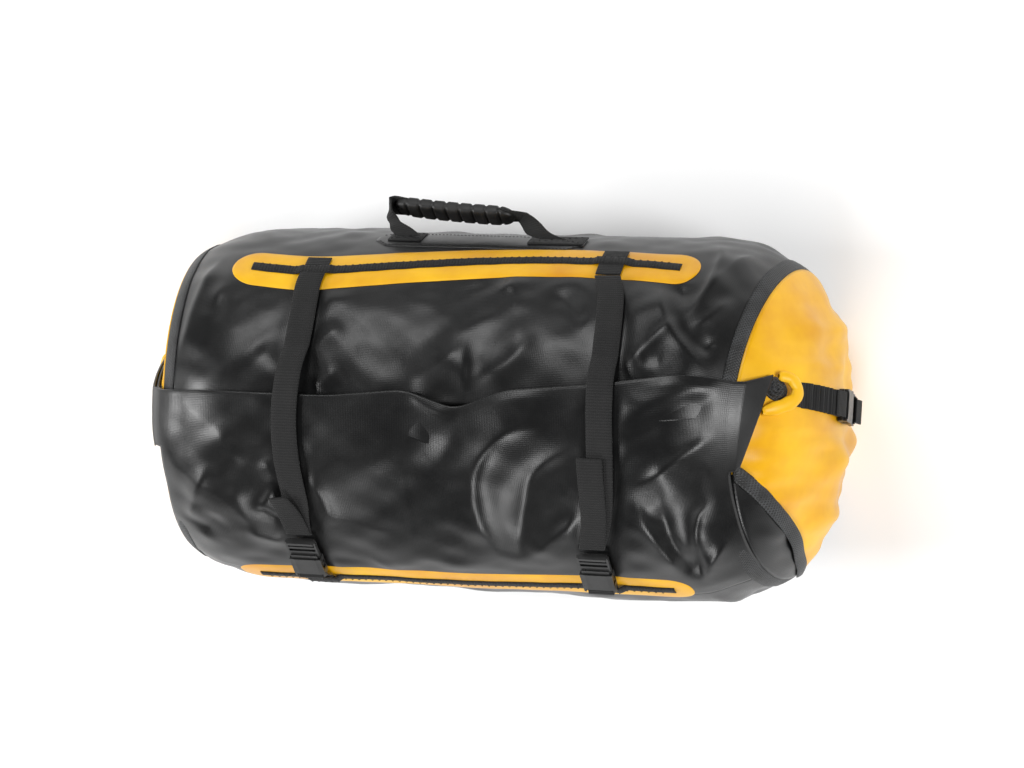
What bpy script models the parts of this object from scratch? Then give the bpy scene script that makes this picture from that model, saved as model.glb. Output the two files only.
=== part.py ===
"""Waterproof roll-top duffel with two compression straps, as separate closed solids.

Frame: +X runs along the bag, +Y is the side that carries the handle, +Z is up through the rolled closure.
The origin is the centre of the flat underside, on the floor. Angles round the tube are in degrees from the
top, positive towards +Y. Heights are measured outwards from the tube's outer face.
"""

import math

import bpy
import numpy as np

# Overall sizes
TUBE_RADIUS = 0.178
RIM_RADIUS = TUBE_RADIUS - 0.028
HALF_TUBE = 0.292
SHOULDER_LENGTH = 0.077
END_REACH = 0.102
SIT = 0.80
END_LIFT = 0.0025
WALL = 0.0015
RIM_X = HALF_TUBE + 0.022
RIM_LEAN = {1: 0.042, -1: 0.017}
APEX_X = {1: RIM_X + 0.032, -1: RIM_X + 0.006}
DOME_POWER = 2.6
DOME_LANDS = 0.96
FACETS = 48

# Clearances
GAP = 0.0004
LAY = 0.0006
TAPE_LAY = 0.0018

# Closure
HINGE_DEG = -28.0
CREASE_DEG = 14.0
MOUTH_DEG = (-25.0, 10.0)
MOUTH_HALF = HALF_TUBE - 0.042
ROLL_WIDTH = 0.038
PLY = 0.0014
PLY_GAP = 0.0006
ROLL_PLIES = 4

# Webbing and strips
WEB = 0.0015
STRAP_WIDTH = 0.025
STRAP_X = {1: HALF_TUBE - 0.153, -1: HALF_TUBE - 0.137}
STRAP_BOW = {1: 0.017, -1: 0.0}
LASH_DEG = 61.0
LASH_X = -0.006
LASH_HALF = HALF_TUBE - 0.060
LASH_WIDTH = 0.050
LASH_WEB_HALF = LASH_HALF - 0.019
LASH_WEB_WIDTH = 0.016
PATCH = 0.0012
STRAP_HINGE_DEG = 57.0

# Side-release buckles, in their own frame: u towards the socket, v across, w outwards
SOCKET_LENGTH = 0.030
SOCKET_DEEP = SOCKET_LENGTH - 0.0095
SOCKET_HALF = STRAP_WIDTH / 2 + 0.0035
BUCKLE_HEIGHT = 0.0100
PLUG_LENGTH = 0.024
BUCKLE_DEG = -43.5
PRONG_PIVOT = (-0.0012, SOCKET_HALF - 0.0062)
BUCKLE_RISE = 0.0052

# Ends: spots on an end panel are given as (y, height over the tube's axis)
TIP_REACH = 0.040
END_DROP = {1: (0.0, 0.0), -1: (-0.008, -0.028)}
TIP_Y = 0.061
TIP_WIDTH = 0.030
TIP_HIGH = 0.113
EAR_TOP = (0.046, 0.106)
EAR_LOW = (0.044, 0.084)
END_SWING = (0.0435, 0.080)
END_BUCKLE = (0.017, -0.010)
END_SKEW_DEG = 14.0
BUCKLE_REST = 0.0022

# Handle
HANDLE_DEG = 76.0
HANDLE_DROP_DEG = 35.0
HANDLE_REACH = 0.031
GRIP_X = (-0.097, 0.027)
GRIP_THICK = 0.015
GRIP_TALL = STRAP_WIDTH + 0.006
TAB_X = (-0.082, 0.086)

AXIS_Z = SIT * TUBE_RADIUS
PER_DEG = TUBE_RADIUS * math.pi / 180
STRAP_STOP_DEG = BUCKLE_DEG + (PLUG_LENGTH + 0.001) / PER_DEG + 1.2

BLACK = (0.012, 0.012, 0.013, 1.0)
YELLOW = (0.85, 0.50, 0.015, 1.0)
COLOURS = {
    "tarp": (BLACK, 0.42),
    "yellow": (YELLOW, 0.38),
    "webbing": ((0.010, 0.010, 0.010, 1.0), 0.85),
    "plastic": ((0.016, 0.016, 0.017, 1.0), 0.40),
    "rubber": ((0.018, 0.018, 0.019, 1.0), 0.60),
}


def clear_scene():
    for obj in list(bpy.data.objects):
        bpy.data.objects.remove(obj, do_unlink=True)


def material(name, kind):
    colour, rough = COLOURS[kind]
    mat = bpy.data.materials.new("mat_" + name)
    mat.use_nodes = True
    bsdf = mat.node_tree.nodes["Principled BSDF"]
    bsdf.inputs["Base Color"].default_value = colour
    bsdf.inputs["Roughness"].default_value = rough
    mat.diffuse_color = colour
    return mat


def solid(name, points, faces, kind, pivot=None):
    """One closed body. Points that fall together are welded and the faces are turned outwards."""
    points = np.asarray(points, float)
    keys, index = np.unique(np.round(points, 7), axis=0, return_inverse=True)
    index = index.reshape(-1)
    clean = []
    for face in faces:
        ring = []
        for corner in (int(index[i]) for i in face):
            if not ring or ring[-1] != corner:
                ring.append(corner)
        if len(ring) > 1 and ring[0] == ring[-1]:
            ring.pop()
        if len(ring) > 2:
            clean.append(ring)
    volume = 0.0
    for ring in clean:
        for k in range(1, len(ring) - 1):
            a, b, c = keys[ring[0]], keys[ring[k]], keys[ring[k + 1]]
            volume += float(np.dot(a, np.cross(b, c)))
    if volume < 0:
        clean = [ring[::-1] for ring in clean]
    centre = np.zeros(3) if pivot is None else np.asarray(pivot, float)
    mesh = bpy.data.meshes.new(name)
    mesh.from_pydata([tuple(p) for p in keys - centre], [], clean)
    mesh.validate()
    mesh.materials.append(material(name, kind))
    obj = bpy.data.objects.new(name, mesh)
    obj.location = tuple(centre)
    bpy.context.scene.collection.objects.link(obj)
    return obj


def slab(name, outer, inner, kind, wrap=False, keep=None, pivot=None):
    """A sheet with thickness, from two matching grids of points. keep says which cells are filled."""
    outer = np.asarray(outer, float)
    inner = np.asarray(inner, float)
    rows, cols = outer.shape[:2]
    cells = cols if wrap else cols - 1
    if keep is None:
        keep = np.ones((rows - 1, cells), bool)
    count = rows * cols

    def at(layer, i, j):
        return layer * count + i * cols + j % cols

    def filled(i, j):
        if wrap:
            j %= cells
        return 0 <= i < rows - 1 and 0 <= j < cells and keep[i, j]

    faces = []
    for i in range(rows - 1):
        for j in range(cells):
            if not keep[i, j]:
                continue
            faces.append((at(0, i, j), at(0, i + 1, j), at(0, i + 1, j + 1), at(0, i, j + 1)))
            faces.append((at(1, i, j), at(1, i, j + 1), at(1, i + 1, j + 1), at(1, i + 1, j)))
            sides = (
                ((i - 1, j), (i, j), (i, j + 1)),
                ((i + 1, j), (i + 1, j + 1), (i + 1, j)),
                ((i, j - 1), (i + 1, j), (i, j)),
                ((i, j + 1), (i, j + 1), (i + 1, j + 1)),
            )
            for beyond, a, b in sides:
                if not filled(*beyond):
                    faces.append((at(0, *a), at(0, *b), at(1, *b), at(1, *a)))
    points = np.concatenate([outer.reshape(-1, 3), inner.reshape(-1, 3)])
    return solid(name, points, faces, kind, pivot)


def cells(name, us, vs, ws, filled, kind, place, warp=None, pivot=None):
    """A solid from the filled cells of a rectilinear grid, warped and then placed."""
    nu, nv, nw = len(us), len(vs), len(ws)
    points = [(u, v, w) for u in us for v in vs for w in ws]
    if warp:
        points = [warp(*p) for p in points]
    points = np.array([place(*p) for p in points])
    solid_at = np.zeros((nu + 1, nv + 1, nw + 1), bool)
    for i in range(nu - 1):
        for j in range(nv - 1):
            for k in range(nw - 1):
                mid = ((us[i] + us[i + 1]) / 2, (vs[j] + vs[j + 1]) / 2, (ws[k] + ws[k + 1]) / 2)
                solid_at[i + 1, j + 1, k + 1] = filled(*mid)

    def at(i, j, k):
        return (i * nv + j) * nw + k

    faces = []
    for i, j, k in np.argwhere(solid_at):
        i, j, k = int(i) - 1, int(j) - 1, int(k) - 1
        if not solid_at[i, j + 1, k + 1]:
            faces.append((at(i, j, k), at(i, j, k + 1), at(i, j + 1, k + 1), at(i, j + 1, k)))
        if not solid_at[i + 2, j + 1, k + 1]:
            faces.append(
                (at(i + 1, j, k), at(i + 1, j + 1, k), at(i + 1, j + 1, k + 1), at(i + 1, j, k + 1))
            )
        if not solid_at[i + 1, j, k + 1]:
            faces.append((at(i, j, k), at(i + 1, j, k), at(i + 1, j, k + 1), at(i, j, k + 1)))
        if not solid_at[i + 1, j + 2, k + 1]:
            faces.append(
                (at(i, j + 1, k), at(i, j + 1, k + 1), at(i + 1, j + 1, k + 1), at(i + 1, j + 1, k))
            )
        if not solid_at[i + 1, j + 1, k]:
            faces.append((at(i, j, k), at(i, j + 1, k), at(i + 1, j + 1, k), at(i + 1, j, k)))
        if not solid_at[i + 1, j + 1, k + 2]:
            faces.append(
                (at(i, j, k + 1), at(i + 1, j, k + 1), at(i + 1, j + 1, k + 1), at(i, j + 1, k + 1))
            )
    return solid(name, points, faces, kind, pivot)


def smooth(t):
    t = min(1.0, max(0.0, t))
    return t * t * (3 - 2 * t)


def radius_at(x):
    """The tube's outer radius: level in the middle, rounding in over each shoulder."""
    past = max(0.0, (abs(x) - HALF_TUBE) / SHOULDER_LENGTH + 1)
    return TUBE_RADIUS - (TUBE_RADIUS - RIM_RADIUS) * past * past


def rim_x(side, deg):
    """The end seam leans in at the top, where the closure gathers the cloth, and more so on the right."""
    return RIM_X - RIM_LEAN[side] * (0.5 + 0.5 * math.cos(math.radians(deg))) ** 2


def skin(x, deg, high):
    """The point at a length, an angle and a height over the tube's outer face."""
    side = 1 if x > 0 else -1
    r = radius_at(x) + high
    a = math.radians(deg)
    past = smooth((abs(x) - HALF_TUBE) / END_REACH + 1)
    along = x + side * (rim_x(side, deg) - HALF_TUBE) * past
    rest = END_LIFT * past - high
    return (along, r * math.sin(a), max(AXIS_Z + r * math.cos(a), rest))


def dome_rest(rho):
    """How high the underside of an end panel stands: the seam is held up by its tape, the panel isn't."""
    return END_LIFT * smooth((rho - DOME_LANDS) / (1 - DOME_LANDS))


def dome(side, rho, deg, high):
    """The point on an end panel: rho is 1 at the seam and 0 at the middle."""

    def surface(q, d):
        a = math.radians(d)
        w = q**DOME_POWER
        x = side * (rim_x(side, d) * w + APEX_X[side] * (1 - w))
        r = RIM_RADIUS * q
        return np.array((x, r * math.sin(a), max(AXIS_Z + r * math.cos(a), dome_rest(q))))

    a = math.radians(deg)
    slope = DOME_POWER * (APEX_X[side] - rim_x(side, deg)) / RIM_RADIUS * rho ** (DOME_POWER - 1)
    tilt = math.atan(slope)
    out = math.sin(tilt)
    normal = np.array((side * math.cos(tilt), out * math.sin(a), out * math.cos(a)))
    return tuple(surface(rho, deg) + normal * high)


def on_skin(name, rows, thick, kind, pivot=None, keep=None):
    """A strip that lies on the tube: rows of (length, angle, height) for its underside."""
    inner = [[skin(x, d, h) for x, d, h in row] for row in rows]
    outer = [[skin(x, d, h + thick) for x, d, h in row] for row in rows]
    return slab(name, outer, inner, kind, pivot=pivot, keep=keep)


def ribbon(path, thick):
    """The two faces of a strip that follows a flat path."""
    path = np.asarray(path, float)
    step = np.gradient(path, axis=0)
    step /= np.linalg.norm(step, axis=1)[:, None]
    across = np.stack([-step[:, 1], step[:, 0]], axis=1) * thick / 2
    return path + across, path - across


def bend(centre, radius, start, stop, count=5):
    """Points round an arc, with angles in degrees in the path's own plane."""
    turns = [math.radians(start + (stop - start) * k / (count - 1)) for k in range(count)]
    return [(centre[0] + radius * math.cos(t), centre[1] + radius * math.sin(t)) for t in turns]


# Bag body

SHOULDER = [HALF_TUBE - SHOULDER_LENGTH * k for k in (1.0, 0.68, 0.42, 0.22, 0.0)]
STATIONS = sorted([*SHOULDER, MOUTH_HALF])


def build_body():
    half = [0.0, *STATIONS]
    xs = sorted({-x for x in half} | set(half))
    step = 360 / FACETS
    degs = sorted({*(k * step - 180 for k in range(FACETS)), *MOUTH_DEG})
    outer = [[skin(x, d, 0.0) for d in degs] for x in xs]
    inner = [[skin(x, d, -WALL) for d in degs] for x in xs]
    keep = np.ones((len(xs) - 1, len(degs)), bool)
    for i in range(len(xs) - 1):
        for j in range(len(degs) - 1):
            mid_x = (xs[i] + xs[i + 1]) / 2
            mid_deg = (degs[j] + degs[j + 1]) / 2
            if abs(mid_x) < MOUTH_HALF and MOUTH_DEG[0] < mid_deg < MOUTH_DEG[1]:
                keep[i, j] = False
    slab("body_shell", outer, inner, "tarp", wrap=True, keep=keep)


def build_end(side, word):
    step = 360 / FACETS
    degs = [k * step for k in range(FACETS)]
    tuck = -WALL - LAY - GAP
    clear = side * GAP
    rows = [[skin(side * (HALF_TUBE - 0.016), d, tuck) for d in degs]]
    rows += [[skin(side * HALF_TUBE, d, tuck) for d in degs]]
    rows[-1] = [(p[0] + clear, p[1], p[2]) for p in rows[-1]]
    lining = [[skin(side * (HALF_TUBE - 0.016), d, tuck - WALL) for d in degs]]
    lining += [[skin(side * (HALF_TUBE - WALL), d, tuck - WALL) for d in degs]]
    lining[-1] = [(p[0] + clear, p[1], p[2]) for p in lining[-1]]
    for rho in (1.0, DOME_LANDS, 0.90, 0.82, 0.70, 0.54, 0.34, 0.14, 0.0):
        ring = [dome(side, rho, d, 0.0) for d in degs]
        rows.append([(p[0] + clear, p[1], p[2]) for p in ring])
        under = [(d, dome(side, min(rho, 0.975), d, -WALL)) for d in degs]
        floor = dome_rest(rho) + WALL + GAP
        under = [(side * max(side * p[0], rim_x(side, d)), p[1], p[2]) for d, p in under]
        lining.append([(p[0] + clear, p[1], max(p[2], floor)) for p in under])
    slab("end_cap_" + word, rows, lining, "yellow", wrap=True)
    degs = [k * step - 180 for k in range(FACETS)]
    tape = [HALF_TUBE - back for back in (0.0105, 0.0055, 0.0005)]
    outer = [[skin(side * x, d, TAPE_LAY + 0.0010) for d in degs] for x in tape]
    inner = [[skin(side * x, d, TAPE_LAY) for d in degs] for x in tape]
    slab("seam_tape_" + word, outer, inner, "tarp", wrap=True)


def rounded_half(x, half, width):
    """Half the width of a strip with round ends, at a distance x along it."""
    into = half - abs(x)
    if into >= width / 2:
        return width / 2
    short = width / 2 - into
    return max(0.22 * width, math.sqrt(max(0.0, width * width / 4 - short * short)))


def lash_height(x):
    """The lash webbing lies on its patch and arches over each compression strap."""
    near = min(abs(x - side * STRAP_X[side]) for side in (1, -1)) - STRAP_WIDTH / 2
    over = 1 - smooth((near - 0.001) / 0.010)
    return PATCH + LAY + GAP + over * (WEB + LAY)


def build_lash(sign, word):
    half = LASH_HALF
    ends = [half - LASH_WIDTH / 2 * (1 - math.cos(math.radians(a))) for a in (0, 25, 50, 75, 90)]
    xs = sorted({-x for x in ends} | set(ends) | {-0.1, 0.0, 0.1})
    rows = []
    for x in xs:
        wide = rounded_half(x, half, LASH_WIDTH) / PER_DEG
        rows.append([(LASH_X + x, sign * LASH_DEG + wide * k / 4, LAY) for k in range(-4, 5)])
    on_skin(word + "_lash_patch", rows, PATCH, "yellow")
    xs = [LASH_X - LASH_WEB_HALF]
    for s in (-STRAP_X[-1], STRAP_X[1]):
        reach = STRAP_WIDTH / 2
        xs += [s - reach - d for d in (0.011, 0.007, 0.004, 0.001)]
        xs += [s + reach + d for d in (0.001, 0.004, 0.007, 0.011)]
    xs += [0.0, LASH_X + LASH_WEB_HALF]
    wide = LASH_WEB_WIDTH / 2 / PER_DEG
    rows = [[(x, sign * LASH_DEG + wide * k, lash_height(x)) for k in (-1, 0, 1)] for x in sorted(xs)]
    on_skin(word + "_lash_webbing", rows, WEB, "webbing")


# Buckles

def tube_place(deg, x0, rise):
    """Puts a buckle's frame on the tube: u runs down towards -Y, v along X, w outwards."""
    a = math.radians(deg)
    out = np.array((0.0, math.sin(a), math.cos(a)))
    down = np.array((0.0, -math.cos(a), math.sin(a)))
    base = np.array((x0, 0.0, AXIS_Z)) + out * (TUBE_RADIUS + rise)

    def place(u, v, w):
        return tuple(base + down * u + np.array((v, 0.0, 0.0)) + out * w)

    return place


def end_point(side, y, high, out):
    """The point over an end panel at a spot given as (y, height over the axis)."""
    rho = math.hypot(y, high) / RIM_RADIUS
    return dome(side, rho, math.degrees(math.atan2(y, high)), out)


def end_spot(side, spot):
    """A spot on one end's own panel: the closure is drawn further down the left one."""
    return tuple(a + b for a, b in zip(spot, END_DROP[side]))


def end_place(side, rise):
    """Puts a buckle's frame on an end panel: u runs up the strap, w outwards along X."""
    y, high = end_spot(side, END_BUCKLE)
    a = math.radians(END_SKEW_DEG)
    face = end_point(side, y, high, 0.0)[0] + side * rise
    base = np.array((face, y, AXIS_Z + high))
    up = np.array((0.0, math.sin(a), math.cos(a)))
    across = np.array((0.0, -math.cos(a), math.sin(a)))

    def place(u, v, w):
        return tuple(base + up * u + across * v + np.array((side * w, 0.0, 0.0)))

    return place


def socket(name, place, pivot=None):
    wall = 0.0018
    high = BUCKLE_HEIGHT
    room = SOCKET_HALF - 0.0020
    deep = SOCKET_DEEP
    window = (SOCKET_DEEP * 0.32, SOCKET_DEEP * 0.80)
    slot = (SOCKET_LENGTH - 0.0065, SOCKET_LENGTH - 0.0030)
    us = (0.0, 0.0035, *window, deep, *slot, SOCKET_LENGTH)
    vs = (-SOCKET_HALF, -room, -0.0105, -0.0040, 0.0040, 0.0105, room, SOCKET_HALF)
    ws = (0.0, wall, 0.0040, 0.0060, high - wall, high)

    def filled(u, v, w):
        inside = wall < w < high - wall
        if u < deep and abs(v) < room and inside:
            return False
        if window[0] < u < window[1] and abs(v) > room and inside:
            return False
        if slot[0] < u < slot[1] and abs(v) < room:
            return False
        return u < slot[1] or 0.0040 < w < 0.0060

    def warp(u, v, w):
        waist = 1 - 0.06 * math.exp(-(((u - deep * 0.56) / 0.004) ** 2)) * (abs(v) > room - 0.0005)
        tail = 1 - 0.05 * smooth((u - deep) / (SOCKET_LENGTH - deep))
        flat = 1 - 0.10 * smooth((abs(v) - 0.010) / 0.006)
        return (u, v * waist * tail, high / 2 + (w - high / 2) * flat)

    cells(name, us, vs, ws, filled, "plastic", place, warp, pivot)


def plug(name, place, pivot):
    """The plug: a guide tongue in front, a root that carries the prongs, and a ladder-lock behind."""
    back = -PLUG_LENGTH
    us = (back, back + 0.003, back + 0.007, back + 0.010, back + 0.0135, -0.0050, -0.0005, SOCKET_DEEP - 0.0025)
    side, room = SOCKET_HALF - 0.0005, SOCKET_HALF - 0.0025
    vs = (-side, -room, -0.0034, 0.0034, room, side)
    ws = (0.0015, 0.0030, 0.0070, 0.0085)

    def filled(u, v, w):
        if u > -0.0005:
            return abs(v) < 0.0034 and 0.0030 < w < 0.0070
        if u > -0.0050:
            return abs(v) < room or 0.0030 < w < 0.0070
        slot = back + 0.003 < u < back + 0.007 or back + 0.010 < u < back + 0.0135
        if slot and abs(v) < room:
            return False
        return 0.0030 < w < 0.0070 or (u < back + 0.003 and abs(v) < room)

    def warp(u, v, w):
        narrow = 1 - 0.35 * smooth((u - 0.008) / 0.010)
        return (u, v * narrow, w)

    cells(name, us, vs, ws, filled, "plastic", place, warp, pivot)


def prong(name, place, hand, pivot):
    """One side arm of a plug. Its tip sits in the socket's side window."""
    edge, reach = SOCKET_HALF, SOCKET_DEEP
    outline = [
        (0.0002, edge - 0.0082, edge - 0.0048),
        (reach * 0.20, edge - 0.0082, edge - 0.0048),
        (reach * 0.37, edge - 0.0074, edge - 0.0036),
        (reach * 0.42, edge - 0.0064, edge - 0.0006),
        (reach * 0.63, edge - 0.0062, edge - 0.0004),
        (reach * 0.73, edge - 0.0068, edge - 0.0030),
    ]
    low, high = 0.0031, 0.0069
    outer = [[place(u, hand * b, w) for w in (low, high)] for u, a, b in outline]
    inner = [[place(u, hand * a, w) for w in (low, high)] for u, a, b in outline]
    slab(name, outer, inner, "plastic", pivot=pivot)


def buckle(name, place, pivot):
    """A side-release buckle: socket, plug and two prongs."""
    socket("socket_" + name, place)
    plug("plug_" + name, place, pivot)
    for hand, word in ((1, "a"), (-1, "b")):
        at = place(PRONG_PIVOT[0], hand * PRONG_PIVOT[1], BUCKLE_HEIGHT / 2)
        prong("prong_" + name + "_" + word, place, hand, at)


def webbing_in_frame(name, place, path, half, pivot=None, columns=3):
    """Webbing that follows a path of (u, w) points in a buckle's frame."""
    upper, lower = ribbon(path, WEB)
    vs = [half * (2 * k / (columns - 1) - 1) for k in range(columns)]
    outer = [[place(u, v, w) for v in vs] for u, w in upper]
    inner = [[place(u, v, w) for v in vs] for u, w in lower]
    return slab(name, outer, inner, "webbing", pivot=pivot)


def socket_loop(lay, back):
    """A path for webbing that comes up from its stitching, goes round a socket's rear bar and returns."""
    bar, mid = SOCKET_LENGTH - 0.0015, BUCKLE_HEIGHT / 2
    turn = 0.0010 + WEB / 2 + 0.0011
    nose = bend((bar - 0.0004, mid), turn, 270, 90, 7)
    return [*lay, (bar + 0.0045, mid - turn - 0.0002), *nose, (bar + 0.0040, mid + turn - 0.0004), *reversed(back)]


# Compression straps

def strap_height(deg):
    """How high a compression strap lies over the tube: it climbs over the rolled closure."""
    top = PLY / 2 + LAY + ROLL_PLIES * (PLY + PLY_GAP) + PLY + 0.0016
    up = smooth((STRAP_HINGE_DEG - 26 - deg) / 14)
    down = smooth((deg - (BUCKLE_DEG + 14)) / 22)
    low = 0.0030 + 0.0040 * (1 - smooth((deg - BUCKLE_DEG - 10) / 16))
    high = top * min(up, 1.0)
    if deg > 0:
        return max(PATCH + LAY + 0.0008, high)
    return low + (top - low) * down


def strap_x(side, deg):
    """Where a compression strap's middle lies: it is pulled sideways between its two ends."""
    along = min(1.0, abs(2 * (deg - STRAP_STOP_DEG) / (STRAP_HINGE_DEG - STRAP_STOP_DEG) - 1))
    return side * STRAP_X[side] + STRAP_BOW[side] * (1 - along**2.5)


def build_strap(sign, word):
    x0 = sign * STRAP_X[sign]
    hinge = skin(x0, STRAP_HINGE_DEG, 0.0025)
    half = STRAP_WIDTH / 2
    place = tube_place(BUCKLE_DEG, x0, BUCKLE_RISE)
    across = (-half, 0.0, half)
    start = STRAP_HINGE_DEG - 0.8
    stop = STRAP_STOP_DEG
    count = 18
    degs = [start + (stop - start) * k / count for k in range(count + 1)]
    rows = [[(strap_x(sign, d) + v, d, strap_height(d)) for v in across] for d in degs]
    on_skin("strap_" + word, rows, WEB, "webbing", hinge)
    rows = []
    for k in range(9):
        d = stop + 0.6 + 26.0 * (k / 8)
        rows.append([(strap_x(sign, d) + v * 0.96, d, strap_height(d) + WEB + 0.0008) for v in across])
    on_skin("strap_tail_" + word, rows, WEB, "webbing", hinge)
    buckle("strap_" + word, place, hinge)
    wide = LASH_WEB_WIDTH / 2 / PER_DEG
    low = PATCH + LAY + GAP
    ends = (STRAP_HINGE_DEG + 0.6, LASH_DEG, LASH_DEG + wide + 1.5)
    rows = [[(x0 + v, d, low) for v in across] for d in ends]
    on_skin("strap_root_" + word, rows, WEB, "webbing")
    edge = LASH_DEG - wide
    lay = [over_bend(-d, low + WEB / 2) for d in (edge + 5.6, edge + 2.8, edge + 1.4, edge - 0.6)]
    back = [over_bend(-d, low + WEB * 1.5 + LAY) for d in (edge - 1.6,)]
    webbing_in_frame("socket_web_" + word, place, socket_loop(lay, back), half * 0.98)


def over_bend(deg, high):
    """A spot over the tube, as (u, w) in a compression strap buckle's frame."""
    a = math.radians(BUCKLE_DEG - deg)
    r = TUBE_RADIUS + high
    return (r * math.sin(a), r * math.cos(a) - TUBE_RADIUS - BUCKLE_RISE)


# Closure

def flap_top(deg):
    """The height of the closure's outer layer, at mid thickness."""
    roll = LAY + PLY / 2 + ROLL_PLIES * (PLY + PLY_GAP)
    near = 0.0018
    return near + (roll - near) * smooth((deg - HINGE_DEG) / (CREASE_DEG - HINGE_DEG - ROLL_WIDTH / PER_DEG))


def over_tape(x):
    """The closure's ends rest on the seam tapes."""
    return 0.0031 * smooth((abs(x) - SHOULDER[2]) / (SHOULDER[3] - SHOULDER[2]))


def cover(x, deg, high):
    """As skin, but past the seam the closure bends down over the end panel and draws in to a corner."""
    past = (abs(x) - HALF_TUBE) / TIP_REACH
    if past <= 0:
        return skin(x, deg, high)
    side = 1 if x > 0 else -1
    a = math.radians(deg)
    share = (CREASE_DEG - deg) / (CREASE_DEG - HINGE_DEG)
    y = RIM_RADIUS * math.sin(a)
    up = RIM_RADIUS * math.cos(a)
    tip_y, tip_up = end_spot(side, (TIP_Y - share * TIP_WIDTH, TIP_HIGH))
    y += (tip_y - y) * past
    up += (tip_up - up) * past
    return end_point(side, y, up, high * (1 - 0.35 * past))


def build_closure():
    hinge = skin(0.0, HINGE_DEG, 0.002)
    pitch = PLY + PLY_GAP
    turn = pitch / 2
    crease = CREASE_DEG * PER_DEG - turn - PLY / 2
    back = crease - ROLL_WIDTH
    start = (HINGE_DEG + 0.5) * PER_DEG
    top = []
    for k in range(9):
        s = start + (crease - start) * k / 8
        top.append((s, flap_top(s / PER_DEG)))
    path = list(top)
    level = top[-1][1]
    for ply in range(ROLL_PLIES):
        if ply % 2 == 0:
            path += bend((crease, level - turn), turn, 90, -90, 5)[1:]
            level -= pitch
            path += [(crease - ROLL_WIDTH * k / 5, level) for k in range(1, 5)]
        else:
            path += bend((back, level - turn), turn, 90, 270, 5)[1:]
            level -= pitch
            path += [(back + ROLL_WIDTH * k / 5, level) for k in range(1, 5)]
    upper, lower = ribbon(path, PLY)
    half = [*STATIONS, *(HALF_TUBE + TIP_REACH * k / 4 for k in (1, 2, 3, 4))]
    xs = [*(-x for x in reversed(half)), 0.0, *half]
    outer = [[cover(x, s / PER_DEG, h + over_tape(x)) for x in xs] for s, h in upper]
    inner = [[cover(x, s / PER_DEG, h + over_tape(x)) for x in xs] for s, h in lower]
    slab("closure_flap", outer, inner, "tarp", pivot=hinge)


def build_end_straps(side, word):
    hinge = skin(0.0, HINGE_DEG, 0.002)
    swing = end_point(side, *end_spot(side, END_SWING), 0.003)
    outer, inner = [], []
    for k in range(6):
        t = k / 5
        spot = (EAR_TOP[0] + (EAR_LOW[0] - EAR_TOP[0]) * t, EAR_TOP[1] + (EAR_LOW[1] - EAR_TOP[1]) * t)
        y, high = end_spot(side, spot)
        half = 0.018 - 0.004 * t
        spots = [(y + half * j / 4, high - 0.0035 * (j / 4) ** 2) for j in range(-4, 5)]
        puff = [(0.0070 - 0.0025 * t) * math.sqrt(1 - (j / 4.6) ** 2) for j in range(-4, 5)]
        outer.append([end_point(side, *spot, LAY + 0.0010 + h) for spot, h in zip(spots, puff)])
        inner.append([end_point(side, *spot, LAY + 0.0004) for spot in spots])
    slab("closure_ear_" + word, outer, inner, "yellow", pivot=hinge)
    place = end_place(side, BUCKLE_REST)
    half = STRAP_WIDTH / 2
    socket("socket_end_" + word, place, swing)
    y, high = end_spot(side, END_BUCKLE)
    a = math.radians(END_SKEW_DEG)
    lay = []
    run = math.dist(END_SWING, END_BUCKLE) - 0.0033 - SOCKET_LENGTH - 0.012
    for k in range(6):
        u = SOCKET_LENGTH + 0.012 + run * k / 5
        spot = (y + u * math.sin(a), high + u * math.cos(a))
        lay.append((u, abs(end_point(side, *spot, 0.0)[0]) - abs(place(0, 0, 0)[0]) + 0.0030 + 0.0012 * (5 - k) / 5))
    back = [(u, w + WEB + LAY) for u, w in lay[:2]]
    webbing_in_frame("end_strap_" + word, place, socket_loop(lay[::-1], back), half * 0.98, swing)
    plug("plug_end_" + word, place, None)
    for hand, letter in ((1, "a"), (-1, "b")):
        at = place(PRONG_PIVOT[0], hand * PRONG_PIVOT[1], BUCKLE_HEIGHT / 2)
        prong("prong_end_" + word + "_" + letter, place, hand, at)
    lay = []
    for k in range(5):
        u = -PLUG_LENGTH - 0.0008 - 0.046 * k / 4
        spot = (y + u * math.sin(a), high + u * math.cos(a))
        rise = abs(end_point(side, *spot, 0.0)[0]) - abs(place(0, 0, 0)[0]) + LAY + GAP + WEB / 2
        lay.append((u, rise + 0.0040 * smooth(1 - k / 2)))
    webbing_in_frame("end_anchor_" + word, place, lay, half * 0.98)


# Handle

def handle_frame():
    """The carry handle's hinge line and its own directions: d away from the bag, w across it."""
    pivot = np.array(skin(0.0, HANDLE_DEG, 0.0050))
    a = math.radians(HANDLE_DROP_DEG)
    away = np.array((0.0, math.cos(a), -math.sin(a)))
    across = np.array((0.0, math.sin(a), math.cos(a)))
    return pivot, away, across


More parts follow.
